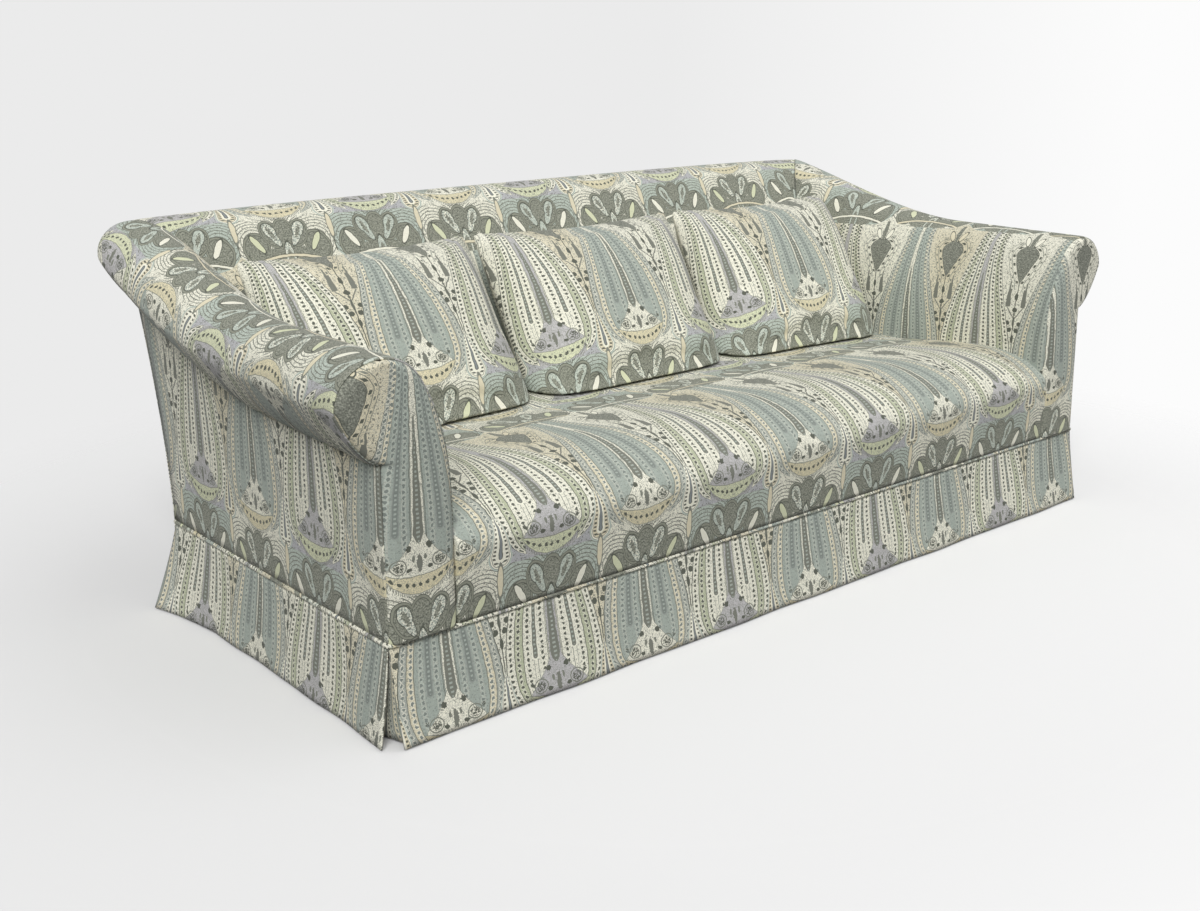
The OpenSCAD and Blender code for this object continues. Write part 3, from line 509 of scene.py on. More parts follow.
        core = spot.drop(abs(share - 0.40) * edge, 118.0, 5.2, 420.0, 0.7)
        spot.lay(spot.pick(self.core_slate, self.ivory), (core < 1.5) * inside)
        spot.lay(spot.pick(self.deep_slate, self.charcoal), (core < 1.0) * inside)
        seeds = abs(add("Math", spot.y / 8.5, operation="FRACT") - 0.5) < 0.22
        spot.lay(self.teal, (core < 0.5) * seeds * inside * 0.6)

        # The open bell over the foot, which narrows to the rim of the middle drop
        flare = add("Math", add("MapRange", spot.y, 110.0, 50.0, 0.0, 1.0), 1.4, operation="POWER")
        bell = edge * 0.115 + flare * 52.0
        spot.lay(self.soft_ink, (spot.x < bell + 1.1) * inside)
        spot.lay(spot.pick(self.ivory, self.lavender), (spot.x < bell) * inside)
        spot.lay(self.soft_ink, spot.scroll * (spot.x < bell) * inside * 0.7)
        slim = add("MapRange", spot.y, 112.0, 330.0, 1.0, 0.0)
        tip = add("MapRange", spot.y, 95.0, 112.0, 0.0, 1.0)
        drop = add("Math", tip, 0.6, operation="POWER") * slim * 9.5
        spot.lay(self.soft_ink, (spot.x < drop + 1.4) * (spot.y > 94.0) * (drop > 0.2))
        spot.lay(self.charcoal, spot.x < drop)
        spot.lay(self.teal, (spot.x < drop * 0.4) * seeds * 0.6)
        mottle = add("MapRange", spot.grit, 0.46, 0.50, 0.0, 1.0)
        spot.lay(self.soft_ink, (abs(spot.leaf(42.0, 58.0, 15.0, 13.0) - 1.0) < 0.08) * inside)
        for x, y, wide, high, fill in (
            (21.0, 88.0, 6.4, 6.4, self.ink), (12.0, 68.0, 3.4, 7.0, self.soft_ink),
            (0.0, 58.0, 6.0, 19.0, self.charcoal), (42.0, 57.0, 12.5, 11.5, self.ink),
            (22.0, 49.0, 6.0, 4.4, self.ink), (62.0, 66.0, 5.0, 5.0, self.ink),
        ):
            where = spot.leaf(x, y, wide, high) + spot.grit * 1.2 < 1.5
            spot.lay(fill, where * (mottle if x > 30 else 1.0) * inside)

    def _foot(self, spot: Spot) -> None:
        """Lay the beaded band that closes each motif at its foot.

        Args:
            spot: The point that is coloured.
        """
        add = spot.sketch.add
        x, y = spot.x, spot.y
        upper = x * x * 0.0026 + 34.0
        round_r = 77.0
        sag = add("Math", round_r * round_r - x * x, 0.0, operation="MAXIMUM")
        lower = 79.0 - add("Math", sag, 0.5, operation="POWER")
        band = (y < upper + 1.3) * (y > lower - 1.3) * (x < 76.0)
        spot.lay(self.soft_ink, band)
        fill = spot.pick(self.foot_gold, self.yellow_green)
        fill = spot.sketch.paint(fill, hex_colour(self.gold), spot.slate * 0.4)
        spot.lay(fill, (y < upper) * (y > lower) * (x < 76.0))
        spot.lay(self.soft_ink, spot.scroll * (y < upper) * (y > lower) * (x < 74.0) * 0.6)
        beads = add("Math", x / 14.0 + 0.5, operation="FRACT")
        middle = (upper + lower) * 0.5
        aside = abs(beads - 0.5) * 14.0
        bead = aside * aside + (y - middle) * (y - middle)
        spot.lay(self.ink, (bead + (spot.grit - 0.5) * 50.0 < 15.0) * (x < 66.0))
        fringe = add("Math", x / 4.0, operation="FRACT") < 0.4
        spot.lay(self.ink, fringe * (y < lower - 2.0) * (y > lower - 8.0) * (x < 62.0) * 0.8)

    def _pendant(self, spot: Spot) -> None:
        """Lay the small drop that hangs between two feet.

        Args:
            spot: The point that is coloured.
        """
        share = spot.drop(spot.gap, 20.0, 27.0, 108.0, 0.85)
        rows = spot.sketch.bands(
            share, (0.0, self.drop_slate), (0.10, self.ink), (0.17, self.ivory), (0.34, self.gold),
            (0.72, self.ink), (0.76, self.ivory), (0.86, self.deep_slate), (0.90, self.teal),
        )
        inside = (share < 1.0) * (spot.y < 112.0)
        spot.lay(rows, inside)
        spot.lay(self.ivory, (share > 0.34) * (share < 0.72) * inside * (1.0 - spot.warm))
        bead = (spot.sketch.add("Math", spot.y / 8.0, operation="FRACT") < 0.5) * (abs(share - 0.55) < 0.12)
        spot.lay(self.ink, bead * inside)

    def _fans(self, spot: Spot) -> None:
        """Lay the row of leaf fans under the feet: each a lobed head between two side leaves.

        Args:
            spot: The point that is coloured.
        """
        sketch = spot.sketch
        low = spot.y < 30.0
        dark = sketch.bands(
            spot.grit, (0.36, self.ink), (0.5, self.olive), (0.64, self.worn_dark), smooth=True,
        )
        dark = sketch.paint(dark, hex_colour(self.soft_ink), spot.scroll * 0.8)
        pale = sketch.bands(
            spot.grit, (0.36, self.soft_ink), (0.46, self.teal), (0.60, self.ivory), smooth=True,
        )
        pale = sketch.paint(pale, hex_colour(self.teal), (1.0 - spot.slate) * 0.7)
        pale = sketch.paint(pale, hex_colour(self.soft_ink), spot.scroll * 0.5)
        side = spot.leaf(75.0, -78.0, 33.0, 42.0, -14.0)
        self._ringed(spot, side, dark, low)
        bar = spot.leaf(71.0, -68.0, 7.0, 25.0, 30.0)
        spot.lay(self.ink, (bar < 1.22) * low)
        spot.lay(spot.pick(self.yellow_green, self.ivory), (bar < 1.0) * low)
        spot.lay(dark, spot.leaf(0.0, -104.0, 62.0, 30.0) < 1.0)
        lobes = spot.leaf(0.0, -42.0, 27.0, 41.0), spot.leaf(33.0, -43.0, 25.0, 39.0, 20.0)
        crown = sketch.add("Math", *lobes, operation="MINIMUM")
        self._ringed(spot, crown, dark, low)
        petals = spot.leaf(35.0, -34.0, 13.0, 21.0, 24.0), spot.leaf(27.0, -52.0, 8.5, 26.0, 26.0)
        petal = sketch.add("Math", *petals, operation="MINIMUM")
        spot.lay(self.ink, (petal < 1.14) * low)
        spot.lay(pale, (petal < 1.0) * low)
        vein = spot.leaf(33.0, -40.0, 6.0, 21.0, 24.0)
        spot.lay(dark, (vein + spot.grit * 1.4 < 1.55) * low)
        stalk = spot.leaf(0.0, -112.0, 11.0, 46.0)
        spot.lay(self.ink, (stalk < 1.12) * low)
        spot.lay(pale, (stalk < 1.0) * low)
        spot.lay(dark, (stalk < 0.6) * low)
        ribbon = abs(spot.y + spot.x * spot.x * 0.0022 + 100.0)
        spot.lay(self.ink, ribbon < 4.4)
        spot.lay(spot.pick(self.gold, self.ivory), ribbon < 2.9)
        leaf = spot.leaf(0.0, -28.0, 6.0, 30.0, between=True)
        spot.lay(self.soft_ink, (leaf < 1.3) * low)
        spot.lay(self.gold, (leaf < 1.0) * low)

    def _ringed(self, spot: Spot, reach: Field, fill: Field, low: Field) -> None:
        """Lay a dark leaf with a smooth rim between two fine lines.

        Args:
            spot: The point that is coloured.
            reach: 0 at the leaf's middle and 1 at its edge.
            fill: The colour inside the rim.
            low: 1 where leaves may lie.
        """
        spot.lay(self.ink, (reach < 1.0) * low)
        spot.lay(self.olive, (reach < 0.96) * low)
        spot.lay(self.ink, (reach < 0.84) * low)
        spot.lay(fill, (reach < 0.80) * low)


@dataclass(frozen=True)
class PrintedLinen:
    """Plain-woven linen with a traditional print: matt, with a slight sheen and a visible thread.

    The threads lie about 0.6 mm apart on the real cloth; they are drawn at 2.2 mm, because
    finer ones wouldn't show.
    """

    name: str = "printed_linen"
    thread: float = 2.2
    thread_height: float = 0.00022

    def material(self) -> Finish:
        """Make the material.

        Returns:
            The material.
        """
        sketch = Sketch(self.name)
        colour = PaisleyPrint().draw(sketch)
        uv = sketch.add("UVMap", uv_map="cloth")
        turns = sketch.add("VectorMath", uv, {"Scale": 2 * math.pi / (self.thread * MM)}, operation="SCALE")
        warp = sketch.add("Math", sketch.add("SeparateXYZ", turns, out=0), operation="SINE")
        weft = sketch.add("Math", sketch.add("SeparateXYZ", turns, out=1), operation="SINE")
        weave = warp * weft * 0.5 + 0.5
        slub = sketch.add("TexNoise", {"Vector": uv, "Scale": 320.0, "Detail": 2.0}, out="Fac")
        return sketch.finish(
            colour, weave * 0.6 + slub, self.thread_height,
            Roughness=0.88, Sheen_Weight=0.12, Sheen_Roughness=0.45, Specular_IOR_Level=0.25,
        )


@dataclass(frozen=True)
class Grained:
    """Wood with its grain along one axis: sawn for the frame, sanded and stained for the legs."""

    name: str
    light: str
    dark: str
    along: int = 0
    ring_mm: float = 9.0
    roughness: float = 0.6

    def material(self) -> Finish:
        """Make the material.

        Returns:
            The material.
        """
        sketch = Sketch(self.name)
        stretch = [1.0, 1.0, 1.0]
        stretch[self.along] = 0.06
        place = sketch.add("TexCoord", out="Object")
        place = sketch.add("Mapping", place, {"Scale": stretch})
        wave = {"Vector": place, "Scale": 0.16 / (self.ring_mm * MM), "Distortion": 7.0, "Detail": 2.0}
        rings = sketch.add("TexWave", wave, out="Fac", bands_direction="DIAGONAL")
        pores = sketch.add("TexNoise", {"Vector": place, "Scale": 900.0, "Detail": 2.0}, out="Fac")
        grain = rings * 0.6 + pores * 0.4
        colour = sketch.bands(grain, (0.2, self.dark), (0.75, self.light), smooth=True)
        return sketch.finish(colour, grain, 0.0002, Roughness=self.roughness)


@dataclass(frozen=True)
class Steel:
    """Drawn or pressed steel: bright where it is plated, bluish where it is tempered."""

    name: str
    tint: str
    roughness: float

    def material(self) -> Finish:
        """Make the material.

        Returns:
            The material.
        """
        sketch = Sketch(self.name)
        place = sketch.add("TexCoord", out="Object")
        grime = sketch.add("TexNoise", {"Vector": place, "Scale": 180.0, "Detail": 4.0}, out="Fac")
        colour = sketch.bands(grime, (0.3, "#77797a"), (0.65, self.tint), smooth=True)
        return sketch.finish(colour, grime, 0.00005, Metallic=1.0, Roughness=self.roughness)


@dataclass(frozen=True)
class Textile:
    """A plain cloth or fleece, by its thread spacing in millimetres: jute, felt or fibre fill."""

    name: str
    light: str
    dark: str
    thread: float
    woven: bool
    roughness: float = 0.95

    def material(self) -> Finish:
        """Make the material.

        Returns:
            The material.
        """
        sketch = Sketch(self.name)
        place = sketch.add("TexCoord", out="Object")
        cloud = {"Vector": place, "Scale": 1 / (self.thread * MM), "Detail": 3.0}
        fluff = sketch.add("TexNoise", cloud, out="Fac")
        height = fluff
        if self.woven:
            waves = 2 * math.pi / (self.thread * MM)
            turns = sketch.add("VectorMath", place, {"Scale": waves}, operation="SCALE")
            axes = [sketch.add("SeparateXYZ", turns, out=k) for k in range(3)]
            parts = [sketch.add("Math", axis, operation="SINE") for axis in axes]
            height = (parts[0] + parts[1] + parts[2]) * 0.16 + fluff * 0.5
        colour = sketch.bands(height, (0.25, self.dark), (0.7, self.light), smooth=True)
        return sketch.finish(colour, height, 0.0004, Roughness=self.roughness)


@dataclass(frozen=True)
class Form:
    """The sofa's driving sizes in metres, as its frame was made, and the curves drawn from them."""

    half_w: float = 1.050
    base_d: float = 0.882
    skirt_top: float = 0.190
    corner_h: float = 0.833
    crown: float = 0.009
    overhang: float = 0.214
    arm_front_h: float = 0.706
    arm_thick: float = 0.145
    arm_roll_r: float = 0.092
    arm_roll_out: float = 0.079
    corner_roll_out: float = 0.062
    rise_start: float = 0.380
    rise_len: float = 0.850
    back_roll_r: float = 0.080
    recline: float = math.radians(29)
    back_lean: float = 0.094
    lean_power: float = 1.7
    front_tuck: float = 0.12
    corner_tuck: float = 0.38
    corner_round: float = 0.035
    gap: float = 0.0003
    panel_t: float = 0.004
    tuck_z: float = 0.345
    arm_lean_z: float = 0.400
    hem_clear: float = 0.004
    hem_flare: float = 0.032
    skirt_t: float = 0.003
    piping_d: float = 0.009
    front_turn: float = 0.014
    front_drop: float = 0.002
    face: float = 4.0
    arc: float = 4.0
    lines: float = 16.0

    @property
    def front_y(self) -> float:
        """Front of the base."""
        hem_out = self.hem_flare + self.skirt_t + self.gap
        return hem_out - (hem_out + self.base_d + self.overhang) / 2

    @property
    def rear_y(self) -> float:
        """Rear of the base."""
        return self.front_y + self.base_d

    @property
    def seat_half(self) -> float:
        """Half the width between the arms."""
        return self.half_w - self.arm_thick

    @property
    def back_c(self) -> tuple[float, float]:
        """The middle of the back's roll at a corner, as y and z."""
        y = self.rear_y + self.overhang - self.back_roll_r - self.crown * math.tan(self.recline)
        return y, self.corner_h - self.back_roll_r

    @property
    def under_z(self) -> float:
        """Underside of the back's roll at a corner."""
        return self.corner_h - 2 * self.back_roll_r

    @property
    def panel_z0(self) -> float:
        """Lower edge of the panels above the piping."""
        return self.skirt_top + self.piping_d / 2 + 0.0005

    def arm_r(self, t: float) -> float:
        """Radius of an arm's roll at the share t of its length."""
        return mix(self.arm_roll_r, self.back_roll_r, t)

    def arm_c(self, t: float) -> tuple[float, float]:
        """The middle of an arm's roll at the share t of its length, as x and z.

        Args:
            t: Share of the way back, from 0 at the front to 1 at the corner.

        Returns:
            Its place across and up.
        """
        y = mix(self.front_y, self.back_c[0], t)
        full = ease((self.back_c[0] - self.front_y - self.rise_start) / self.rise_len)
        rise = ease((y - self.front_y - self.rise_start) / self.rise_len) / full
        r = self.arm_r(t)
        top = mix(self.arm_front_h, self.corner_h, rise)
        return self.half_w + mix(self.arm_roll_out, self.corner_roll_out, t) - r, top - r

    def tuck(self, share: float) -> float:
        """How far the cloth is drawn in under a roll, by the share of the way to the corner."""
        return mix(self.front_tuck, self.corner_tuck, ease((share - 0.7) / 0.3))

    def roll_point(self, k: float, r: float, end: float, tuck: float) -> tuple[float, float]:
        """A point round a roll, from where the inside face meets it to the outside face.

        Args:
            k: Line round the roll, from 0 to 12.
            r: Its radius.
            end: How far the outside face lies from the middle.
            tuck: How far the cloth is drawn in under it.

        Returns:
            Outward and upward distances from the roll's middle.
        """
        if k <= self.arc:
            a = math.pi - self.recline - (math.pi / 2 - self.recline) * k / self.arc
            return r * math.cos(a), r * math.sin(a)
        if k <= 2 * self.arc:
            a = math.pi / 2 * (2 - k / self.arc)
            return r * math.cos(a), r * mix(math.sin(a), 1, tuck)
        a = math.pi / 2 * min(1.0, k / self.arc - 2)
        bulge = mix(math.cos(a), 1 - math.sin(a), 0.45 + 0.5 * tuck)
        return mix(end, r, bulge), r * (tuck - (1 + tuck) * math.sin(a))

    def arm_section(self, i: float, t: float, low: float | None = None) -> tuple[float, float]:
        """Line i of an arm's section at the share t of its length, as x and z.

        Args:
            i: Line round the section: 0 at its foot, 4 where the roll starts, 16 at its end.
            t: Share of the way back.
            low: Height at which the section starts.

        Returns:
            Its place across and up.
        """
        low = self.tuck_z if low is None else low
        r = self.arm_r(t)
        cx, cz = self.arm_c(t)
        if i < self.face:
            top = cz + r * math.sin(self.recline)
            z = mix(low, top, i / self.face)
            x0, x1 = self.seat_half, cx - r * math.cos(self.recline)
            if z <= self.arm_lean_z:
                return x0, z
            rise = top - self.arm_lean_z
            power = math.tan(self.recline) * rise / (x1 - x0)
            return x0 + (x1 - x0) * ((z - self.arm_lean_z) / rise) ** power, z
        out, up = self.roll_point(i - self.face, r, self.half_w - self.panel_t - 0.001 - cx, self.tuck(t))
        return cx + out, cz + up

    def drawn_in(self, y: float) -> float:
        """How far an arm's cloth is drawn in close to its front, where it turns over the edge."""
        near = clamp(1 - (y - self.front_y) / self.front_turn)
        return self.front_drop * (1 - (1 - near * near) ** 0.5)

    def arm_edge(self, i: float, t: float, y: float, low: float | None = None) -> tuple[float, float]:
        """Find a point of an arm's section, drawn in where it is close to the arm's front.

        Args:
            i: Place along the section, as for arm_section.
            t: Share of the way back.
            y: Where the section stands.
            low: Height at which the section starts.

        Returns:
            The distance from the middle, and the height.
        """
        at = Vector(self.arm_section(i, t, low))
        before = Vector(self.arm_section(max(0.0, i - 0.2), t, low))
        after = Vector(self.arm_section(min(float(self.lines), i + 0.2), t, low))
        ahead = (after - before).normalized() * self.drawn_in(y)
        return at.x + ahead.y, at.y - ahead.x

    def back_crown(self, q: float) -> float:
        """How much higher the back is than its corners at the share q of its half width."""
        return self.crown * (1 - abs(q) ** 4)

    def back_face_y(self, z: float) -> float:
        """Where the inside back lies at the height z.

        Args:
            z: The height.

        Returns:
            The face's y.
        """
        y, cz = self.back_c
        r, lean = self.back_roll_r, self.recline
        return y - r * math.cos(lean) - (cz + r * math.sin(lean) - z) * math.tan(lean)

    def back_section(self, i: float, q: float) -> tuple[float, float]:
        """Line i of the back's section at the share q of its half width, as y and z.

        Args:
            i: Line round the section, as for arm_section.
            q: Share of the half width.

        Returns:
            Its place along y and up.
        """
        lift = self.back_crown(q)
        cy, cz = self.back_c[0] + lift * math.tan(self.recline), self.back_c[1] + lift
        if i < self.face:
            z = mix(self.tuck_z, cz + self.back_roll_r * math.sin(self.recline), i / self.face)
            return self.back_face_y(z), z
        end = self.rear_y + self.back_lean - self.panel_t - self.gap - 0.001 - cy
        out, up = self.roll_point(i - self.face, self.back_roll_r, end, self.tuck(abs(q)))
        return cy + out, cz + up

    def corner(self, i: float) -> tuple[float, float, float]:
        """Where line i turns the corner between arm and back, and how round it is there.

        Args:
            i: Line round the section.

        Returns:
            The corner's x and y, and its radius.
        """
        x, y = self.arm_section(i, 1)[0], self.back_section(i, 1)[0]
        round_r = self.corner_round + min(x - self.arm_c(1)[0], y - self.back_c[0])
        return x, y, max(0.0, round_r)

    @property
    def turn_len(self) -> float:
        """Length of the stretch on each side of a corner that is rounded."""
        return self.corner_round + self.back_roll_r

    @staticmethod
    def turned(e: float, r: float) -> tuple[float, float]:
        """A point at the distance e before a corner of radius r: distance left, and shift in.

        Args:
            e: Distance before the sharp corner.
            r: The corner's radius.

        Returns:
            The distance that is left, and the shift towards the inside.
        """
        if e >= r:
            return e, 0.0
        a = math.radians(45 * (1 - e / r))
        return r - r * math.sin(a), r * (1 - math.cos(a))

    def back_out_y(self, z: float) -> float:
        """The outside back's line, which leans out towards the roll."""
        share = max(0.0, z - self.skirt_top) / (self.under_z - self.skirt_top)
        return self.rear_y + self.back_lean * share**self.lean_power

    def arm_under_z(self, y: float) -> float:
        """Where an outside arm panel ends under the roll."""
        t = min(1.0, (y - self.front_y) / (self.back_section(self.lines, 1)[0] - self.front_y))
        return self.arm_c(t)[1] - self.arm_r(t) - 0.0015


class Cloth:
    """A sheet of cloth, shaped from a grid, that carries its own map in metres."""

    def __init__(self, columns: int, rows: int) -> None:
        """Start a flat grid.

        Args:
            columns: Faces along the cloth.
            rows: Faces up the cloth.
        """
        self.bm = bmesh.new()
        self.map = self.bm.loops.layers.uv.new("cloth")
        bmesh.ops.create_grid(self.bm, x_segments=columns, y_segments=rows, size=0.5)
        self.share = {v: (v.co.x + 0.5, v.co.y + 0.5) for v in self.bm.verts}

    def shape(self, place: Place) -> "Cloth":
        """Put each point where place says, from its shares along and up the cloth.

        Args:
            place: The rule that places a point by its shares.

        Returns:
            The same cloth.
        """
        for vert, (s, t) in self.share.items():
            vert.co = place(s, t)
        return self

    def heights(self, start: float) -> dict[bmesh.types.BMVert, float]:
        """Measure how far each point lies up the cloth.

        Args:
            start: The share up the cloth that counts as 0.

        Returns:
            The distance for each point, in metres.
        """
        columns: dict[float, list[bmesh.types.BMVert]] = {}
        for vert, (s, _) in self.share.items():
            columns.setdefault(round(s, 5), []).append(vert)
        found = {}
        for verts in columns.values():
            verts.sort(key=lambda v: self.share[v][1])
            run = [0.0]
            for a, b in zip(verts, verts[1:]):
                run.append(run[-1] + (b.co - a.co).length)
            at = start * (len(verts) - 1)
            k = min(int(at), len(verts) - 2)
            zero = mix(run[k], run[k + 1], at - k)
            found.update({v: d - zero for v, d in zip(verts, run)})
        return found

    def lay_print(self, where: Callable[[bmesh.types.BMVert], tuple[float, float]]) -> "Cloth":
        """Write the map: where gives each point's place on the flat cloth, in metres.

        Args:
            where: The rule that gives a point's place on the flat cloth.

        Returns:
            The same cloth.
        """
        places = {v: where(v) for v in self.share}
        for face in self.bm.faces:
            for loop in face.loops:
                loop[self.map].uv = places[loop.vert]
        return self

    def piece(self, name: str, finish: Finish, turn: bool = False, thick: float = 0.0) -> Piece:
        """Make the piece.

        Args:
            name: Its name.
            finish: Its material.
            turn: Whether the faces point the wrong way so far.
            thick: Thickness that is added inward, in metres.

        Returns:
            The piece.
        """
        if turn:
            bmesh.ops.reverse_faces(self.bm, faces=self.bm.faces[:])
        return make_piece(self.bm, name, finish, thick)


def along(chain: Sequence[tuple[float, float]], share: float) -> Vector:
    """Find the point at a share of a chain's length.

    Args:
        chain: The chain's corners.
        share: From 0 at its start to 1 at its end.

    Returns:
        The point.
    """
    corners = [Vector(corner) for corner in chain]
    spans = [(b - a).length for a, b in zip(corners, corners[1:])]
    left = share * sum(spans)
    for a, b, span in zip(corners, corners[1:], spans):
        if left <= span:
            return a.lerp(b, left / span)
        left -= span
    return corners[-1]


def make_piece(bm: bmesh.types.BMesh, name: str, finish: Finish, thick: float = 0.0) -> Piece:
    """Turn a bmesh into a smooth piece of the sofa.

    Args:
        bm: The mesh, which is freed.
        name: The piece's name.
        finish: Its material.
        thick: Thickness that is added inward, in metres.

    Returns:
        The piece.
    """
    mesh = bpy.data.meshes.new(name)
    bm.to_mesh(mesh)
    bm.free()
    mesh.materials.append(finish)
    mesh.shade_smooth()
    piece = bpy.data.objects.new(name, mesh)
    bpy.context.scene.collection.objects.link(piece)
    if thick:
        wall = piece.modifiers.new("thickness", "SOLIDIFY")
        wall.thickness = thick
        wall.offset = -1
    LOG.info("%s: %d faces", name, len(mesh.polygons))
    return piece


def settle(piece: Piece, slot: str, *nodes: str, body: str = BODY) -> Piece:
    """Let a piece ride on its body and stand for its nodes.

    Args:
        piece: The piece.
        slot: The record's material slot; it is not used.
        nodes: The nodes that it stands for.
        body: The body that carries it.

    Returns:
        The piece.
    """
    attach(piece, body)
    if nodes:
        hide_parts(*nodes)
    return piece


@dataclass
class Arms:
    """Both scroll arms: inside covers that run over the roll, outside panels and front panels."""

    form: Form
    linen: Finish
    columns: int = 120
    rows: int = 72
    corner_share: float = 0.16
    cover_t: float = 0.0022
    foot_z: float = 0.280
    print_top: float = 0.5075
    print_skew: float = 0.052
    roll_over: float = 0.030
    roll_out: float = 0.015
    tuck_in: float = 0.0012
    under: float = 0.003
    gather: float = 0.0014
    gather_from: float = 12.5
    gather_turns: float = 150.0
    gather_drift: float = 23.0
    proud: float = 0.0006
    outside_grid: tuple[int, int] = (40, 24)
    front_grid: tuple[int, int] = (36, 110)
    right_across: float = 0.078
    left_across: float = -0.295
    outside_across: float = -0.054
    front_across: tuple[float, float] = (0.922, -0.9855)
    front_foot_z: float = 0.2765

    def print_place(self, side: Side, y: float, low: float, up: float) -> tuple[float, float]:
        """Say where a point of an arm's cover lies on the flat cloth.

        Args:
            side: Which arm.
            y: How far back the point lies.
            low: How far it lies above the cover's lower edge.
            up: How far it lies past the roll's top.

        Returns:
            Its place on the cloth.
        """
        if side is Side.RIGHT:
            return y + self.right_across, low + self.form.tuck_z - self.foot_z
        return self.left_across - y, up + self.print_top + self.print_skew * y

    def place(self, side: Side) -> Place:
        """Give the rule that shapes an arm's cover.

        Args:
            side: Which arm.

        Returns:
            The rule.
        """
        form = self.form

        def point(s: float, t: float) -> Vector:
            """Place a point by its shares along and up the cloth."""
            i = t * form.lines
            _, corner_y, round_r = form.corner(i)
            start = form.front_y - self.proud
            straight = 1 - self.corner_share
            if s <= straight:
                e = mix(corner_y - start, form.turn_len, (s / straight) ** 1.5)
            else:
                e = max(form.gap, form.turn_len * (1 - s) / self.corner_share)
            full = corner_y - form.front_y
            share = (corner_y - e - form.front_y) / full
            left, shift = form.turned(e, round_r)
            y = corner_y - left
            x, z = form.arm_edge(i, share, y)
            wave = math.sin(y * self.gather_turns + 3 * math.sin(y * self.gather_drift))
            fold = self.gather * ease((i - self.gather_from) / 2.5) * wave
            return Vector(((x - shift + fold) * side.value, y, z - fold * 0.5))

        return point

    def cover(self, side: Side) -> Piece:
        """Make an arm's inside cover.

        Args:
            side: Which arm.

        Returns:
            The piece.
        """
        form = self.form
        cloth = Cloth(self.columns, self.rows).shape(self.place(side))
        up = cloth.heights((form.face + form.arc) / form.lines)
        low = cloth.heights(0.0)
        cloth.lay_print(lambda v: self.print_place(side, v.co.y, low[v], up[v]))
        piece = cloth.piece(f"{side.word}_arm_linen", self.linen, side is Side.LEFT, self.cover_t)
        return settle(piece, "cover_fabric", f"{side.word}_arm_cover")

    def outside(self, side: Side) -> Piece:
        """Make the flat panel outside an arm.

        Args:
            side: Which arm.

        Returns:
            The piece.
        """
        form = self.form

        def point(s: float, t: float) -> Vector:
            """Place a point by its shares along and up the cloth."""
            low = form.panel_z0
            y0 = form.front_y - self.proud
            y1 = form.back_out_y(mix(low, form.under_z - form.gap, t)) - form.panel_t - form.gap
            y = mix(y0, y1, s**1.4)
            z = mix(low, min(form.arm_under_z(y), form.under_z - form.gap), t)
            return Vector(((form.half_w - form.drawn_in(y)) * side.value, y, z))

        cloth = Cloth(*self.outside_grid).shape(point)
        cloth.lay_print(lambda v: (v.co.y * side.value + self.outside_across, v.co.z - self.foot_z))
        piece = cloth.piece(f"{side.word}_outside_arm_linen", self.linen, side is Side.LEFT, self.cover_t)
        deep = form.back_out_y(form.under_z) - form.front_y
        return settle(piece, "cover_fabric", f"{side.word}_arm_outside_cover")

    def front(self, side: Side) -> Piece:
        """Make the padded panel that closes an arm's front, with its edge rolled over softly.

        Args:
            side: Which arm.

        Returns:
            The piece.
        """
        form = self.form
        top = form.face + form.arc
        front = form.front_y
        inner = [form.arm_edge(k / 8, 0, front, form.panel_z0 - self.under) for k in range(int(top * 8))]
        outer = [(form.half_w - form.front_drop, form.panel_z0 - self.under)]
        outer += [form.arm_edge(form.lines - k / 8, 0, front) for k in range(int((form.lines - top) * 8))]

        def point(s: float, t: float) -> Vector:
            """Place a point by its shares along and up the cloth."""
            a = along(inner, 0.998 * t)
            b = along(outer, 0.998 * t)
            share = 0.5 - 0.5 * math.cos(math.pi * s)
            at = a.lerp(b, share)
            rim = min((at - a).length, (at - b).length)
            over = clamp(rim / self.roll_over)
            forward = self.roll_out * (1 - (1 - over) ** 2) ** 0.5 - self.tuck_in
            return Vector((at.x * side.value, form.front_y - forward, at.y))

        across = self.front_across[0 if side is Side.RIGHT else 1]
        cloth = Cloth(*self.front_grid).shape(point)
        cloth.lay_print(lambda v: (v.co.x - across, v.co.z - self.front_foot_z))
        piece = cloth.piece(f"{side.word}_arm_front_linen", self.linen, side is Side.LEFT, self.cover_t)
        return settle(piece, "cover_fabric", f"{side.word}_arm_front_panel")

    def build(self) -> None:
        """Make every piece of both arms."""
        for side in Side:
            self.cover(side)
            self.outside(side)
            self.front(side)


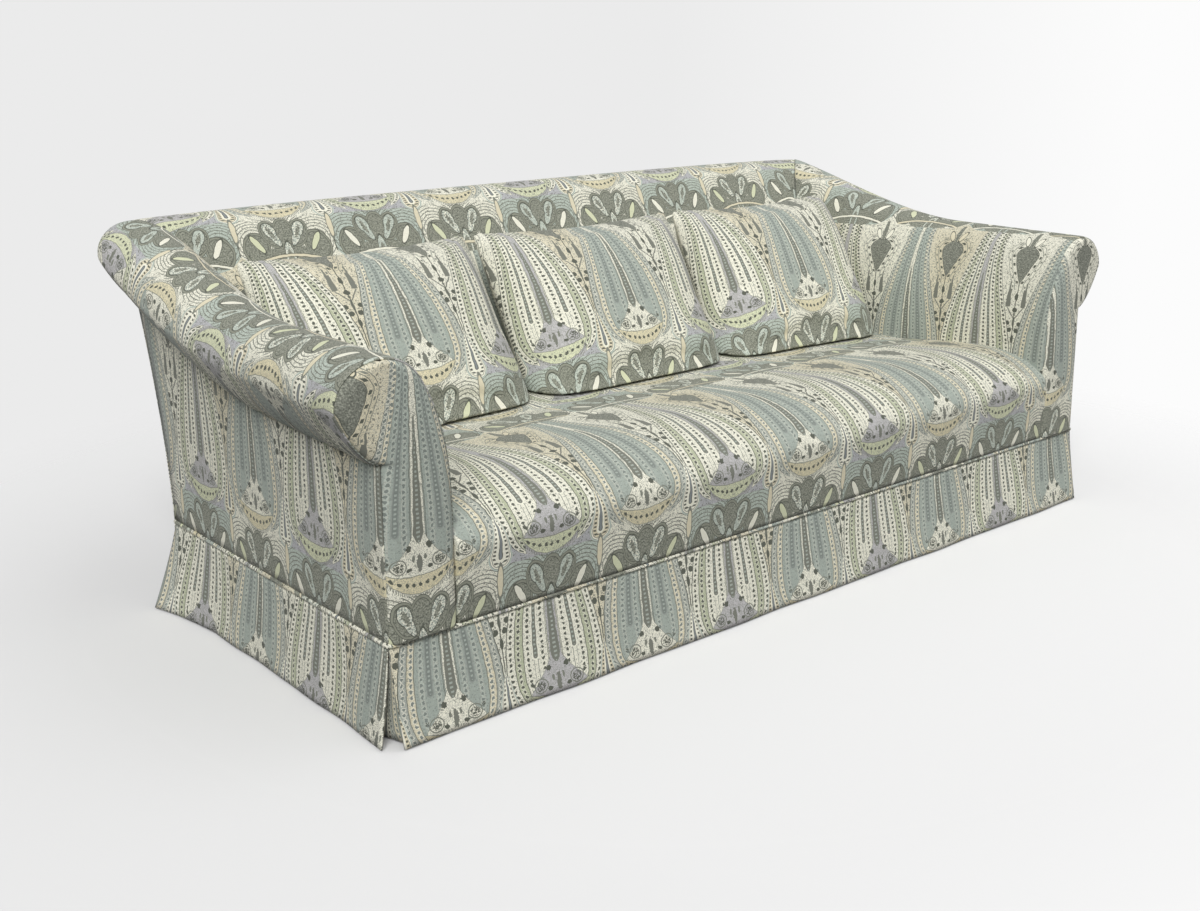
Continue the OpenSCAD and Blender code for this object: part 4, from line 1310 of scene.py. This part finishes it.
@dataclass
class Back:
    """The inside back, which runs over the roll and turns both corners, and the outside back."""

    form: Form
    linen: Finish
    columns: int = 200
    rows: int = 72
    corner_share: float = 0.07
    cover_t: float = 0.0022
    print_top: float = 0.078
    print_across: float = -0.2295
    outside_grid: tuple[int, int] = (60, 24)
    foot_z: float = 0.280

    def point(self, s: float, t: float) -> Vector:
        """Shape the inside back's cover.

        Args:
            s: Share along the cloth, from 0 to 1.
            t: Share up the cloth, from 0 to 1.

        Returns:
            The point.
        """
        form = self.form
        i = t * form.lines
        corner_x, _, round_r = form.corner(i)
        near = min(s, 1 - s)
        side = -1 if s < 0.5 else 1
        if near < self.corner_share:
            e = max(form.gap, form.turn_len * near / self.corner_share)
        else:
            half = 0.5 - self.corner_share
            e = mix(form.turn_len, corner_x, (near - self.corner_share) / half)
        left, shift = form.turned(e, round_r)
        y, z = form.back_section(i, (corner_x - e) / corner_x)
        return Vector((side * (corner_x - left), y - shift, z))

    def inside(self) -> Piece:
        """Make the inside back's cover.

        Returns:
            The piece.
        """
        form = self.form
        cloth = Cloth(self.columns, self.rows).shape(self.point)
        up = cloth.heights((form.face + form.arc) / form.lines)
        cloth.lay_print(lambda v: (v.co.x + self.print_across, up[v] + self.print_top))
        piece = cloth.piece("inside_back_linen", self.linen, False, self.cover_t)
        return settle(piece, "cover_fabric", "inside_back_cover")

    def outside(self) -> Piece:
        """Make the outside back, which leans out to the roll.

        Returns:
            The piece.
        """
        form = self.form

        def point(s: float, t: float) -> Vector:
            """Place a point by its shares along and up the cloth."""
            x = mix(-form.half_w, form.half_w, s)
            share = min(1.0, abs(x) / form.arm_section(form.lines, 1)[0])
            z = mix(form.panel_z0, form.under_z + form.back_crown(share) - form.gap, t)
            return Vector((x, form.back_out_y(z), z))

        cloth = Cloth(*self.outside_grid).shape(point)
        cloth.lay_print(lambda v: (-v.co.x, v.co.z - self.foot_z))
        piece = cloth.piece("outside_back_linen", self.linen, True, self.cover_t)
        return settle(piece, "cover_fabric", "outside_back_cover")

    def build(self) -> None:
        """Make both pieces of the back."""
        self.inside()
        self.outside()


@dataclass
class Seat:
    """The tight seat: a crowned top that rolls over a soft front edge down to the piping."""

    form: Form
    linen: Finish
    height: float = 0.431
    fall: float = 0.029
    side_fall: float = 0.020
    edge_d: float = 0.195
    edge_h: float = 0.100
    front_out: float = 0.018
    foot_out: float = 0.008
    side_gap: float = 0.0002
    side_turn: float = 0.035
    side_share: float = 0.03
    level_y: float = -0.05035
    cover_t: float = 0.0022
    columns: int = 140
    rows: int = 90
    front_end: float = 0.16
    roll_end: float = 0.52
    print_foot: float = -0.087
    print_across: float = -0.011

    @property
    def edge_y(self) -> float:
        """Where the top starts to roll over the front edge."""
        return self.form.front_y - self.front_out + self.edge_d

    def top_z(self, x: float, y: float) -> float:
        """Height of the seat's top."""
        s = clamp((y - self.edge_y) / (self.level_y - self.edge_y))
        return self.height - self.fall * s**1.3 - self.side_fall * (abs(x) / self.form.seat_half) ** 4

    def point(self, s: float, t: float) -> Vector:
        """Shape the seat's cover, from its lower front edge up and back.

        Args:
            s: Share along the cloth, from 0 to 1.
            t: Share up the cloth, from 0 to 1.

        Returns:
            The point.
        """
        form = self.form
        out = (1 + self.side_share) * (2 * s - 1)
        x = (form.seat_half - self.side_gap) * math.sin(math.radians(90 * clamp(out, -1, 1)))
        inside = self.side_turn * clamp((abs(out) - 1) / self.side_share)
        edge_z = self.height - self.edge_h
        if t < self.front_end:
            k = 1 - t / self.front_end
            y = mix(form.front_y - self.front_out, form.front_y - self.foot_out, k)
            return Vector((x, y + inside, mix(edge_z, form.panel_z0, k)))
        if t < self.roll_end:
            a = math.pi / 2 * (1 - (t - self.front_end) / (self.roll_end - self.front_end))
            deep = (self.edge_d - inside) * math.sin(a)
            top = self.top_z(x, self.edge_y) - inside
            return Vector((x, self.edge_y - deep, edge_z + (top - edge_z) * math.cos(a)))
        rear = form.back_face_y(self.height - self.fall) - 0.001
        y = mix(self.edge_y, rear, (t - self.roll_end) / (1 - self.roll_end))
        return Vector((x, y, self.top_z(x, y) - inside))

    def build(self) -> None:
        """Make the seat's cover."""
        cloth = Cloth(self.columns, self.rows).shape(self.point)
        up = cloth.heights(0.0)
        share = cloth.share
        turn = self.side_turn / self.side_share

        def across(vert: bmesh.types.BMVert) -> float:
            """Measure how far a point lies from the middle, round the side as well."""
            past = (1 + self.side_share) * (2 * share[vert][0] - 1)
            return vert.co.x + math.copysign(turn * max(0.0, abs(past) - 1), past)

        cloth.lay_print(lambda v: (across(v) + self.print_across, up[v] + self.print_foot))
        piece = cloth.piece("seat_linen", self.linen, False, self.cover_t)
        settle(piece, "cover_fabric", "seat_cover")


@dataclass
class Skirt:
    """The tailored skirt: four panels that flare to the floor, kick pleats and piping."""

    form: Form
    linen: Finish
    side_flare: float = 0.023
    rear_flare: float = 0.061
    pleat_open: float = 0.002
    pleat_t: float = 0.002
    ripple: float = 0.0016
    long_grid: tuple[int, int] = (150, 16)
    side_grid: tuple[int, int] = (70, 16)
    pleat_grid: tuple[int, int] = (24, 10)
    cord_grid: tuple[int, int] = (900, 10)
    kick_from: float = 0.75
    print_down: float = 0.033
    print_across: float = -0.010
    side_down: float = 0.045
    side_across: float = -0.050

    @property
    def top(self) -> float:
        """Upper edge of the panels, under the piping."""
        return self.form.skirt_top - self.form.piping_d / 2 - 0.0005

    def height(self, s: float) -> float:
        """Height at the share s of the way down."""
        return mix(self.top, self.form.hem_clear, s)

    def front_y(self, down: float) -> float:
        """Where the front panel's inner face lies."""
        return self.form.front_y - self.form.gap - self.form.hem_flare * down**1.2

    def front(self, rear: bool) -> Piece:
        """Make the front or the back panel.

        Args:
            rear: Whether it is the back panel.

        Returns:
            The piece.
        """
        form = self.form

        def point(s: float, t: float) -> Vector:
            """Place a point by its shares along and up the cloth."""
            down = 1 - t
            x = mix(-1, 1, s) * (form.half_w - self.pleat_open * down - 0.0005)
            wave = self.ripple * down * (math.sin(x * 17) + 0.6 * math.sin(x * 29 + 1))
            y = self.front_y(down) - form.skirt_t - wave
            if rear:
                x, y = -x, form.front_y + form.rear_y - y
            return Vector((x, y, self.height(down)))

        cloth = Cloth(*self.long_grid).shape(point)
        side = -1 if rear else 1
        cloth.lay_print(lambda v: (v.co.x * side + self.print_across, v.co.z + self.print_down))
        name = "back" if rear else "front"
        piece = cloth.piece(f"{name}_skirt_linen", self.linen, False, form.skirt_t)
        drop = math.hypot(self.top - form.hem_clear, form.hem_flare)
        return settle(piece, "cover_fabric", f"skirt_{name}")

    def side(self, side: Side) -> Piece:
        """Make a side panel, which kicks out over its last stretch.

        Args:
            side: Which side.

        Returns:
            The piece.
        """
        form = self.form

        def point(s: float, t: float) -> Vector:
            """Place a point by its shares along and up the cloth."""
            down = 1 - t
            kick = max(0.0, (s - self.kick_from) / (1 - self.kick_from)) ** 1.4
            y = mix(form.front_y - 0.014 * down + 0.003, form.rear_y - 0.003 + 0.004 * down, s)
            out = mix(self.side_flare + 0.008 * (1 - s) ** 6, self.rear_flare, kick)
            wave = self.ripple * down * (math.sin(y * 19) + 0.5 * math.sin(y * 37))
            x = form.half_w + out * down**1.2 + wave
            return Vector((x * side.value, y, self.height(down)))

        cloth = Cloth(*self.side_grid).shape(point)
        cloth.lay_print(lambda v: (v.co.y * side.value + self.side_across, v.co.z + self.side_down))
        piece = cloth.piece(f"{side.word}_skirt_linen", self.linen, side is Side.LEFT, form.skirt_t)
        drop = math.hypot(self.top - form.hem_clear, self.side_flare)
        return settle(piece, "cover_fabric", f"skirt_{side.word}")

    def pleats(self) -> Piece:
        """Make the folded pieces behind the flaps of the four corners.

        Returns:
            The piece.
        """
        form = self.form
        inner_x = form.half_w - form.skirt_t - form.gap
        whole = bmesh.new()
        for side in Side:
            for rear in (False, True):

                def point(s: float, t: float) -> Vector:
                    """Place a point by its shares along and up the cloth."""
                    z = mix(0.162, form.hem_clear + 0.001, 1 - t)
                    down = (self.top - z) / (self.top - form.hem_clear)
                    plan = (
                        Vector((form.half_w - 0.090, self.front_y(down) + form.gap, z)),
                        Vector((form.half_w - 0.006 - 0.007 * down, form.front_y - 0.015 * down, z)),
                        Vector((form.half_w - 0.003 + 0.005 * down, form.front_y + 0.012 + 0.025 * down, z)),
                        Vector((inner_x + self.side_flare * down**1.2, form.front_y + 0.110, z)),
                    )
                    k = min(2, int(s * 3))
                    at = plan[k].lerp(plan[k + 1], s * 3 - k)
                    y = form.front_y + form.rear_y - at.y if rear else at.y
                    return Vector((at.x * side.value, y, at.z))

                cloth = Cloth(*self.pleat_grid).shape(point)
                width = cloth.share
                cloth.lay_print(lambda v: (width[v][0] * 0.20, v.co.z + self.print_down))
                if (side is Side.LEFT) != rear:
                    bmesh.ops.reverse_faces(cloth.bm, faces=cloth.bm.faces[:])
                part = bpy.data.meshes.new("pleat")
                cloth.bm.to_mesh(part)
                cloth.bm.free()
                whole.from_mesh(part)
                bpy.data.meshes.remove(part)
        piece = make_piece(whole, "kick_pleat_linen", self.linen, self.pleat_t)
        return settle(piece, "cover_fabric", "kick_pleats")

    def piping(self) -> Piece:
        """Make the covered cord that runs round the base above the skirt.

        Returns:
            The piece.
        """
        form = self.form
        bend = 0.006
        r = form.piping_d / 2
        x1 = form.half_w
        y0 = form.front_y - 0.008 + r - 0.001
        y1 = form.rear_y
        runs = [2 * (x1 - bend), y1 - y0 - 2 * bend]
        arc = bend * math.pi / 2
        total = 2 * (runs[0] + runs[1]) + 4 * arc
        starts = [Vector((-x1 + bend, y0, 0)), Vector((x1, y0 + bend, 0)),
                  Vector((x1 - bend, y1, 0)), Vector((-x1, y1 - bend, 0))]

        def route(d: float) -> tuple[Vector, float]:
            """Follow the cord's path: the point at the distance d along it, and its heading."""
            heading = 0.0
            for k in range(4):
                run = runs[k % 2]
                ahead = Vector((math.cos(heading), math.sin(heading), 0))
                if d <= run:
                    return starts[k] + ahead * d, heading
                d -= run
                if d <= arc:
                    turn = d / bend
                    left = Vector((-ahead.y, ahead.x, 0))
                    middle = starts[k] + ahead * run + left * bend
                    return middle + bend * (ahead * math.sin(turn) - left * math.cos(turn)), heading + turn
                d -= arc
                heading += math.pi / 2
            return starts[0], 0.0

        def point(s: float, t: float) -> Vector:
            """Place a point by its shares along and up the cloth."""
            at, heading = route(s * total)
            a = t * 2 * math.pi
            out = Vector((math.sin(heading), -math.cos(heading), 0))
            return at + out * (r * math.cos(a)) + Vector((0, 0, form.skirt_top + r * math.sin(a)))

        cloth = Cloth(*self.cord_grid).shape(point)
        share = cloth.share
        cloth.lay_print(lambda v: (share[v][0] * total, share[v][1] * 0.028 + share[v][0] * total))
        bmesh.ops.remove_doubles(cloth.bm, verts=cloth.bm.verts[:], dist=0.0001)
        bmesh.ops.recalc_face_normals(cloth.bm, faces=cloth.bm.faces[:])
        piece = cloth.piece("base_piping_linen", self.linen)
        return settle(piece, "piping_fabric", "skirt_piping")

    def build(self) -> None:
        """Make every piece of the skirt."""
        self.front(False)
        self.front(True)
        for side in Side:
            self.side(side)
        self.pleats()
        self.piping()


@dataclass
class BackCushion:
    """A loose back cushion with a knife edge, blown up by a cloth simulation."""

    form: Form
    linen: Finish
    ticking: Finish
    word: str
    place: int
    thick: float = 0.222
    top: float = 0.764
    dip: float = 0.016
    splay: float = 0.04
    gap: float = 0.0015
    seam: float = 0.009
    seat_z: float = 0.4026
    voxel: float = 0.0065
    pressure: float = 4.0
    reach: float = 0.014
    shrink: float = 0.004
    filling_in: float = 0.003
    start_slim: float = 0.004
    cuts: int = 24
    quality: int = 3
    frames: int = 20
    wrap_share: float = 0.6
    wrap_from: float = 0.018
    top_share: float = 0.3
    print_across: float = 0.002
    print_foot: float = -0.038

    @property
    def length(self) -> float:
        """Length up the reclined back."""
        return (self.top - self.seat_z) / math.cos(self.form.recline)

    @property
    def middle_y(self) -> float:
        """Where the cushion's middle plane lies at its top."""
        return self.form.back_face_y(self.top) - (self.thick / 2 + 0.0006) / math.cos(self.form.recline)

    def edge(self, right: bool, s: float) -> float:
        """Where the cushion's side lies at the distance s up it.

        Args:
            right: Whether it is the right side.
            s: Distance up the cushion.

        Returns:
            Its x.
        """
        third = (2 * (self.form.seat_half - 0.003) - 2 * self.gap) / 3
        lean = self.splay * (self.place if self.place else (1 if right else -1))
        return self.place * (third + self.gap) + (third / 2 if right else -third / 2) + lean * s

    def fullness(self, v: float) -> float:
        """Share of the full thickness at the share v up the cushion.

        Args:
            v: Share up the cushion, from 0 to 1.

        Returns:
            The share, from 0 to 1.
        """
        if v < 0.3:
            return 1 - 0.03 * (1 - v / 0.3) ** 2
        return max(0.0, 1 - ((v - 0.3) / 0.7) ** 2.6) ** 0.6

    def at(self, a: float, v: float, f: float, slim: float = 0.0) -> Vector:
        """A point in the cushion.

        Args:
            a: Across it, from -1 to 1.
            v: Up it, from 0 to 1.
            f: Through it, from -1 at its back to 1 at its front.
            slim: How much smaller it starts, in metres.

        Returns:
            The place.
        """
        lean = self.form.recline
        s = v * (self.length - self.dip * (1 - a * a) - slim)
        drawn = 0.007 * math.sin(math.pi * clamp(v)) + 0.001 + slim
        x = mix(self.edge(False, s) + drawn, self.edge(True, s) - drawn, (a + 1) / 2)
        side = max(0.0, 1 - abs(a) ** mix(7, 3.6, ease(v / 0.4))) ** 0.55
        half = max(self.seam / 2, self.thick / 2 * self.fullness(v) * side) - slim
        tilt = lean * ease(v / 0.35)
        drop = 0.020 * (abs(x) / self.form.seat_half) ** 4 * (1 - v) ** 3
        y = self.middle_y - (self.length - s) * math.sin(lean) - half * f * math.cos(tilt)
        z = self.seat_z + s * math.cos(lean) + half * f * math.sin(tilt) * 0.97 - drop
        return Vector((x, y, z + slim))

    def pad(self, slim: float) -> Piece:
        """Make the cushion's closed form, a little slimmer than its space.

        Args:
            slim: How much slimmer, in metres.

        Returns:
            The piece.
        """
        bm = bmesh.new()
        bmesh.ops.create_cube(bm, size=2.0)
        bmesh.ops.subdivide_edges(bm, edges=bm.edges[:], cuts=self.cuts, use_grid_fill=True)
        for vert in bm.verts:
            a = math.sin(math.radians(90 * vert.co.x))
            v = (vert.co.z + 1) / 2
            v = 0.5 * v + 0.5 * math.sin(math.radians(90 * v))
            vert.co = self.at(a, v, vert.co.y * -1, slim)
        bmesh.ops.recalc_face_normals(bm, faces=bm.faces[:])
        return make_piece(bm, f"{self.word}_back_cushion_linen", self.linen)

    def blow_up(self, piece: Piece) -> None:
        """Remesh the cushion evenly and let cloth under pressure fill it out.

        Args:
            piece: The cushion, whose mesh is replaced.
        """
        scene = bpy.context.scene
        remesh = piece.modifiers.new("even", "REMESH")
        remesh.mode = "VOXEL"
        remesh.voxel_size = self.voxel
        apply_modifiers(piece)
        start = [v.co.copy() for v in piece.data.vertices]
        cloth = piece.modifiers.new("cloth", "CLOTH")
        cloth.settings.use_pressure = True
        cloth.settings.uniform_pressure_force = self.pressure
        cloth.settings.effector_weights.gravity = 0
        cloth.settings.quality = self.quality
        cloth.collision_settings.use_collision = False
        for number in range(1, self.frames + 1):
            scene.frame_set(number)
        apply_modifiers(piece)
        scene.frame_set(1)
        for vert, at in zip(piece.data.vertices, start):
            move = vert.co - at
            out = move.dot(vert.normal) > 0
            move.length = min(move.length, self.reach if out else self.shrink)
            vert.co = at + move

    def build(self) -> None:
        """Make the cushion."""
        piece = self.pad(self.start_slim)
        self.blow_up(piece)
        piece.data.materials.clear()
        piece.data.materials.append(self.linen)
        piece.data.shade_smooth()
        lean = self.form.recline
        up = Vector((0, math.sin(lean), math.cos(lean)))
        back = Vector((0, math.cos(lean), -math.sin(lean)))
        foot = Vector((0, self.middle_y - self.length * math.sin(lean), self.seat_z))
        cloth_map = piece.data.uv_layers.new(name="cloth")
        for loop in piece.data.loops:
            at = piece.data.vertices[loop.vertex_index].co
            high = (at - foot).dot(up)
            middle = (self.edge(False, high) + self.edge(True, high)) / 2
            full = self.thick / 2 * self.fullness(clamp(high / self.length))
            past = max(0.0, full - abs((foot - at).dot(back)) - self.wrap_from)
            round_side = math.copysign(self.wrap_share * past, at.x - middle)
            over_top = self.top_share * (self.thick / 2 - full)
            cloth_map.data[loop.index].uv = (
                at.x - middle + round_side + self.print_across, high + over_top + self.print_foot,
            )
        smooth = piece.modifiers.new("smooth", "SUBSURF")
        smooth.levels = smooth.render_levels = 1
        body = f"{self.word}_back_cushion"
        nodes = f"{self.word}_cushion_cover", f"{self.word}_cushion_zip_panel"
        settle(piece, "cover_fabric", *nodes, body=body)
        self.fill(piece)

    def fill(self, cover: Piece) -> None:
        """Make the filling, which lies a little inside the cover.

        Args:
            cover: The finished cover.
        """
        bm = bmesh.new()
        bm.from_mesh(cover.data)
        for vert in bm.verts:
            vert.co -= vert.normal * self.filling_in
        piece = make_piece(bm, f"{self.word}_back_cushion_filling", self.ticking)
        settle(piece, "padding", f"{self.word}_cushion_filling", body=f"{self.word}_back_cushion")


def apply_modifiers(piece: Piece) -> None:
    """Apply every modifier of a piece and leave none on it.

    Args:
        piece: The piece, whose mesh is replaced.
    """
    graph = bpy.context.evaluated_depsgraph_get()
    mesh = bpy.data.meshes.new_from_object(piece.evaluated_get(graph))
    piece.modifiers.clear()
    old = piece.data
    piece.data = mesh
    bpy.data.meshes.remove(old)


@dataclass
class Underside:
    """The dust cover under the seat, and the finishes of the frame's own pieces."""

    form: Form
    dust_half: float = 1.043
    dust_y: tuple[float, float] = (-0.529, 0.345)
    dust_z: float = 0.1645
    dust_t: float = 0.0006
    dust_sag: float = 0.004

    def dust_cover(self, cloth_finish: Finish) -> Piece:
        """Make the thin cloth stapled under the rails, which sags a little between them.

        Args:
            cloth_finish: Its material.

        Returns:
            The piece.
        """

        def point(s: float, t: float) -> Vector:
            """Place a point by its shares along and up the cloth."""
            x = mix(-self.dust_half, self.dust_half, s)
            sag = self.dust_sag * (abs(math.sin(4 * math.pi * s)) * math.sin(math.pi * t)) ** 0.7
            return Vector((x, mix(*self.dust_y, t), self.dust_z - sag))

        cloth = Cloth(96, 24).shape(point)
        cloth.lay_print(lambda v: (v.co.x, v.co.y))
        piece = cloth.piece("underside_dust_cloth", cloth_finish, True, self.dust_t)
        return settle(piece, "dust_cloth", "dust_cover")

    def build(self) -> None:
        """Make the dust cover, and dress the nodes that stay as they are."""
        # Sawn beech is pale and matt with an open grain; the legs are sanded and stained dark
        wood = Grained("sawn_beech_frame", "#cfae7e", "#b08a58").material()
        stained = Grained("stained_beech_leg", "#5b4433", "#3d2c20", along=2, ring_mm=6, roughness=0.4)
        legs = stained.material()
        # Tempered wire is bluish and half dull; plated clips and glides are bright
        springs = Steel("tempered_spring_wire", "#8d9296", 0.45).material()
        glides = Steel("nickel_plated_glide", "#c8c9c8", 0.25).material()
        # Jute is coarse and brown, fibre wrap white and fluffy, dust cloth thin, black and felted
        jute = Textile("jute_webbing", "#b79a68", "#7f6640", 2.5, True).material()
        fibre = Textile("polyester_fibre_wrap", "#efece2", "#d8d3c4", 6.0, False).material()
        dust = Textile("black_nonwoven_dust_cloth", "#3d3b39", "#232221", 1.6, False, 0.9).material()
        finishes = {
            "leg_glides": glides, "legs": legs, "seat_springs": springs, "spring_clips": glides,
            "seat_platform": jute, "back_webbing": jute,
        }
        self.dust_cover(dust)
        for name, node in frame["nodes"].items():
            finish = finishes.get(name, wood)
            if name.endswith(("_padding", "_filling")):
                finish = fibre
            elif name.endswith("_lining"):
                finish = jute
            node.data.materials.clear()
            node.data.materials.append(finish)


@dataclass
class Studio:
    """The pale floor, the soft light and the camera."""

    azimuth: float = math.radians(-41.757)
    elevation: float = math.radians(15.262)
    distance: float = 3.519
    target: tuple[float, float, float] = (0.0, -0.0894, 0.3341)
    focal_px: float = 1461.785
    axis_px: tuple[float, float] = (66.7, -42.3)
    photo_px: float = 1200.0
    sensor: float = 36.0
    floor_tone: str = "#ececec"
    floor_right: str = "#fbfbfb"
    bounce_tone: str = "#4c4c4c"
    floor_r: float = 1.35
    floor_fade: float = 0.8
    ambient: float = 0.45
    dome: tuple[tuple[float, str], ...] = ((0.0, "#bdbdbd"), (0.9, "#ffffff"))
    backdrop: tuple[tuple[float, str], ...] = ((0.0, "#ebebeb"), (0.3, "#fcfcfc"))
    key: tuple[Any, ...] = ((-0.51, -0.57, 0.64), 34, 2.3)
    fill: tuple[Any, ...] = ((0.5, -0.5, 0.9), 60, 0.35)

    def back_vector(self) -> Vector:
        """The direction from the sofa to the camera.

        Returns:
            The direction, one metre long.
        """
        level = math.cos(self.elevation)
        across, ahead = math.sin(self.azimuth), -math.cos(self.azimuth)
        return Vector((across * level, ahead * level, math.sin(self.elevation)))

    def camera(self) -> None:
        """Set the camera at the photograph's viewing angle."""
        data = bpy.data.cameras.new("camera")
        data.sensor_width = self.sensor
        data.lens = self.sensor * self.focal_px / self.photo_px
        data.shift_x = -self.axis_px[0] / self.photo_px
        data.shift_y = self.axis_px[1] / self.photo_px
        camera = bpy.data.objects.new("camera", data)
        back = self.back_vector()
        right = Vector((math.cos(self.azimuth), math.sin(self.azimuth), 0))
        up = back.cross(right)
        turn = Matrix((right, up, back)).transposed().to_4x4()
        camera.matrix_world = Matrix.Translation(Vector(self.target) + back * self.distance) @ turn
        bpy.context.scene.collection.objects.link(camera)
        bpy.context.scene.camera = camera

    def floor(self) -> None:
        """Lay the floor, which keeps the sofa's shadow and fades into the backdrop further out."""
        bm = bmesh.new()
        bmesh.ops.create_grid(bm, x_segments=2, y_segments=2, size=30)
        # A painted floor: white and matt, even apart from painted light that grows lighter towards the
        # camera's right, so that only the shadow shows on it
        sketch = Sketch("white_studio_floor")
        add = sketch.add
        place = add("TexCoord", out="Object")
        far = add("VectorMath", place, {"Vector_001": (0.0, -0.1, 0.0)}, operation="DISTANCE", out="Value")
        far = add("MapRange", far, self.floor_r, self.floor_r + self.floor_fade, 0.0, 1.0)
        seen = self.direct(sketch)
        # Painted light: the tone that the camera sees grows lighter towards the camera's right, as the
        # studio light falls
        right = (math.cos(self.azimuth), math.sin(self.azimuth), 0.0)
        across = add("VectorMath", place, {"Vector_001": right}, operation="DOT_PRODUCT", out="Value")
        stops = (0.0, self.floor_tone), (0.9, self.floor_right)
        tone = sketch.bands(across * 0.3 + 0.5, *stops, smooth=True)
        tone = sketch.paint(hex_colour(self.bounce_tone), tone, seen)
        white = add("BsdfDiffuse", {"Color": tone})
        clear = add("BsdfTransparent")
        surface = add("MixShader", far * seen, white, clear)
        end = sketch.tree.nodes.new("ShaderNodeOutputMaterial")
        sketch.tree.links.new(surface.socket, end.inputs["Surface"])
        make_piece(bm, "floor", sketch.owner)

    def direct(self, sketch: Sketch) -> Field:
        """Give 1 for rays from the camera, also by way of a mirror or glass, and 0 for light's rays.

        Args:
            sketch: The material or world that asks.

        Returns:
            The field.
        """
        add = sketch.add
        seen = add("LightPath", out="Is Camera Ray")
        for kind in ("Is Glossy Ray", "Is Transmission Ray"):
            seen = add("Math", seen, add("LightPath", out=kind), operation="MAXIMUM")
        return seen

    def world(self) -> None:
        """Set the light from all round, and the backdrop that the camera sees."""
        sketch = Sketch("studio", bpy.data.worlds)
        add = sketch.add
        place = add("TexCoord", out="Generated")
        turned = add("VectorRotate", {"Vector": place, "Angle": -self.azimuth}, rotation_type="Z_AXIS")
        dome = sketch.bands(add("SeparateXYZ", place, out=2), *self.dome, smooth=True)
        # Painted light: the backdrop grows lighter towards the camera's right, as the studio light falls on
        # it
        backdrop = sketch.bands(add("SeparateXYZ", turned, out=0), *self.backdrop, smooth=True)
        light = add("Background", {"Color": dome, "Strength": self.ambient})
        surface = add("MixShader", self.direct(sketch), light, add("Background", {"Color": backdrop}))
        end = sketch.tree.nodes.new("ShaderNodeOutputWorld")
        sketch.tree.links.new(surface.socket, end.inputs["Surface"])
        bpy.context.scene.world = sketch.owner

    def lamp(self, name: str, towards: Sequence[float], spread: float, power: float) -> None:
        """Place a wide, far lamp.

        Args:
            name: The lamp's name.
            towards: The way from the sofa to it.
            spread: Its width as seen from the sofa, in degrees.
            power: Its strength.
        """
        light = bpy.data.lights.new(name, "SUN")
        light.angle = math.radians(spread)
        light.energy = power
        lamp = bpy.data.objects.new(name, light)
        lamp.rotation_euler = Vector(towards).to_track_quat("Z", "Y").to_euler()
        bpy.context.scene.collection.objects.link(lamp)

    def build(self) -> None:
        """Build the floor, camera and lights."""
        self.floor()
        self.camera()
        self.world()
        self.lamp("key", *self.key)
        self.lamp("fill", *self.fill)
        bpy.context.scene.view_settings.view_transform = "Standard"


def main() -> None:
    """Build the studio and the sofa in order."""
    logging.basicConfig(level=logging.INFO, format="%(name)s: %(message)s")
    form = Form()
    linen = PrintedLinen().material()
    # Ticking is a dense plain cotton, off-white and matt
    ticking = Textile("down_proof_ticking", "#f1eee6", "#dcd7c9", 1.2, False).material()
    Studio().build()
    Underside(form).build()
    Seat(form, linen).build()
    Arms(form, linen).build()
    Back(form, linen).build()
    Skirt(form, linen).build()
    for place, word in ((-1, "left"), (0, "centre"), (1, "right")):
        BackCushion(form, linen, ticking, word, place).build()


if __name__ == "__main__":
    main()
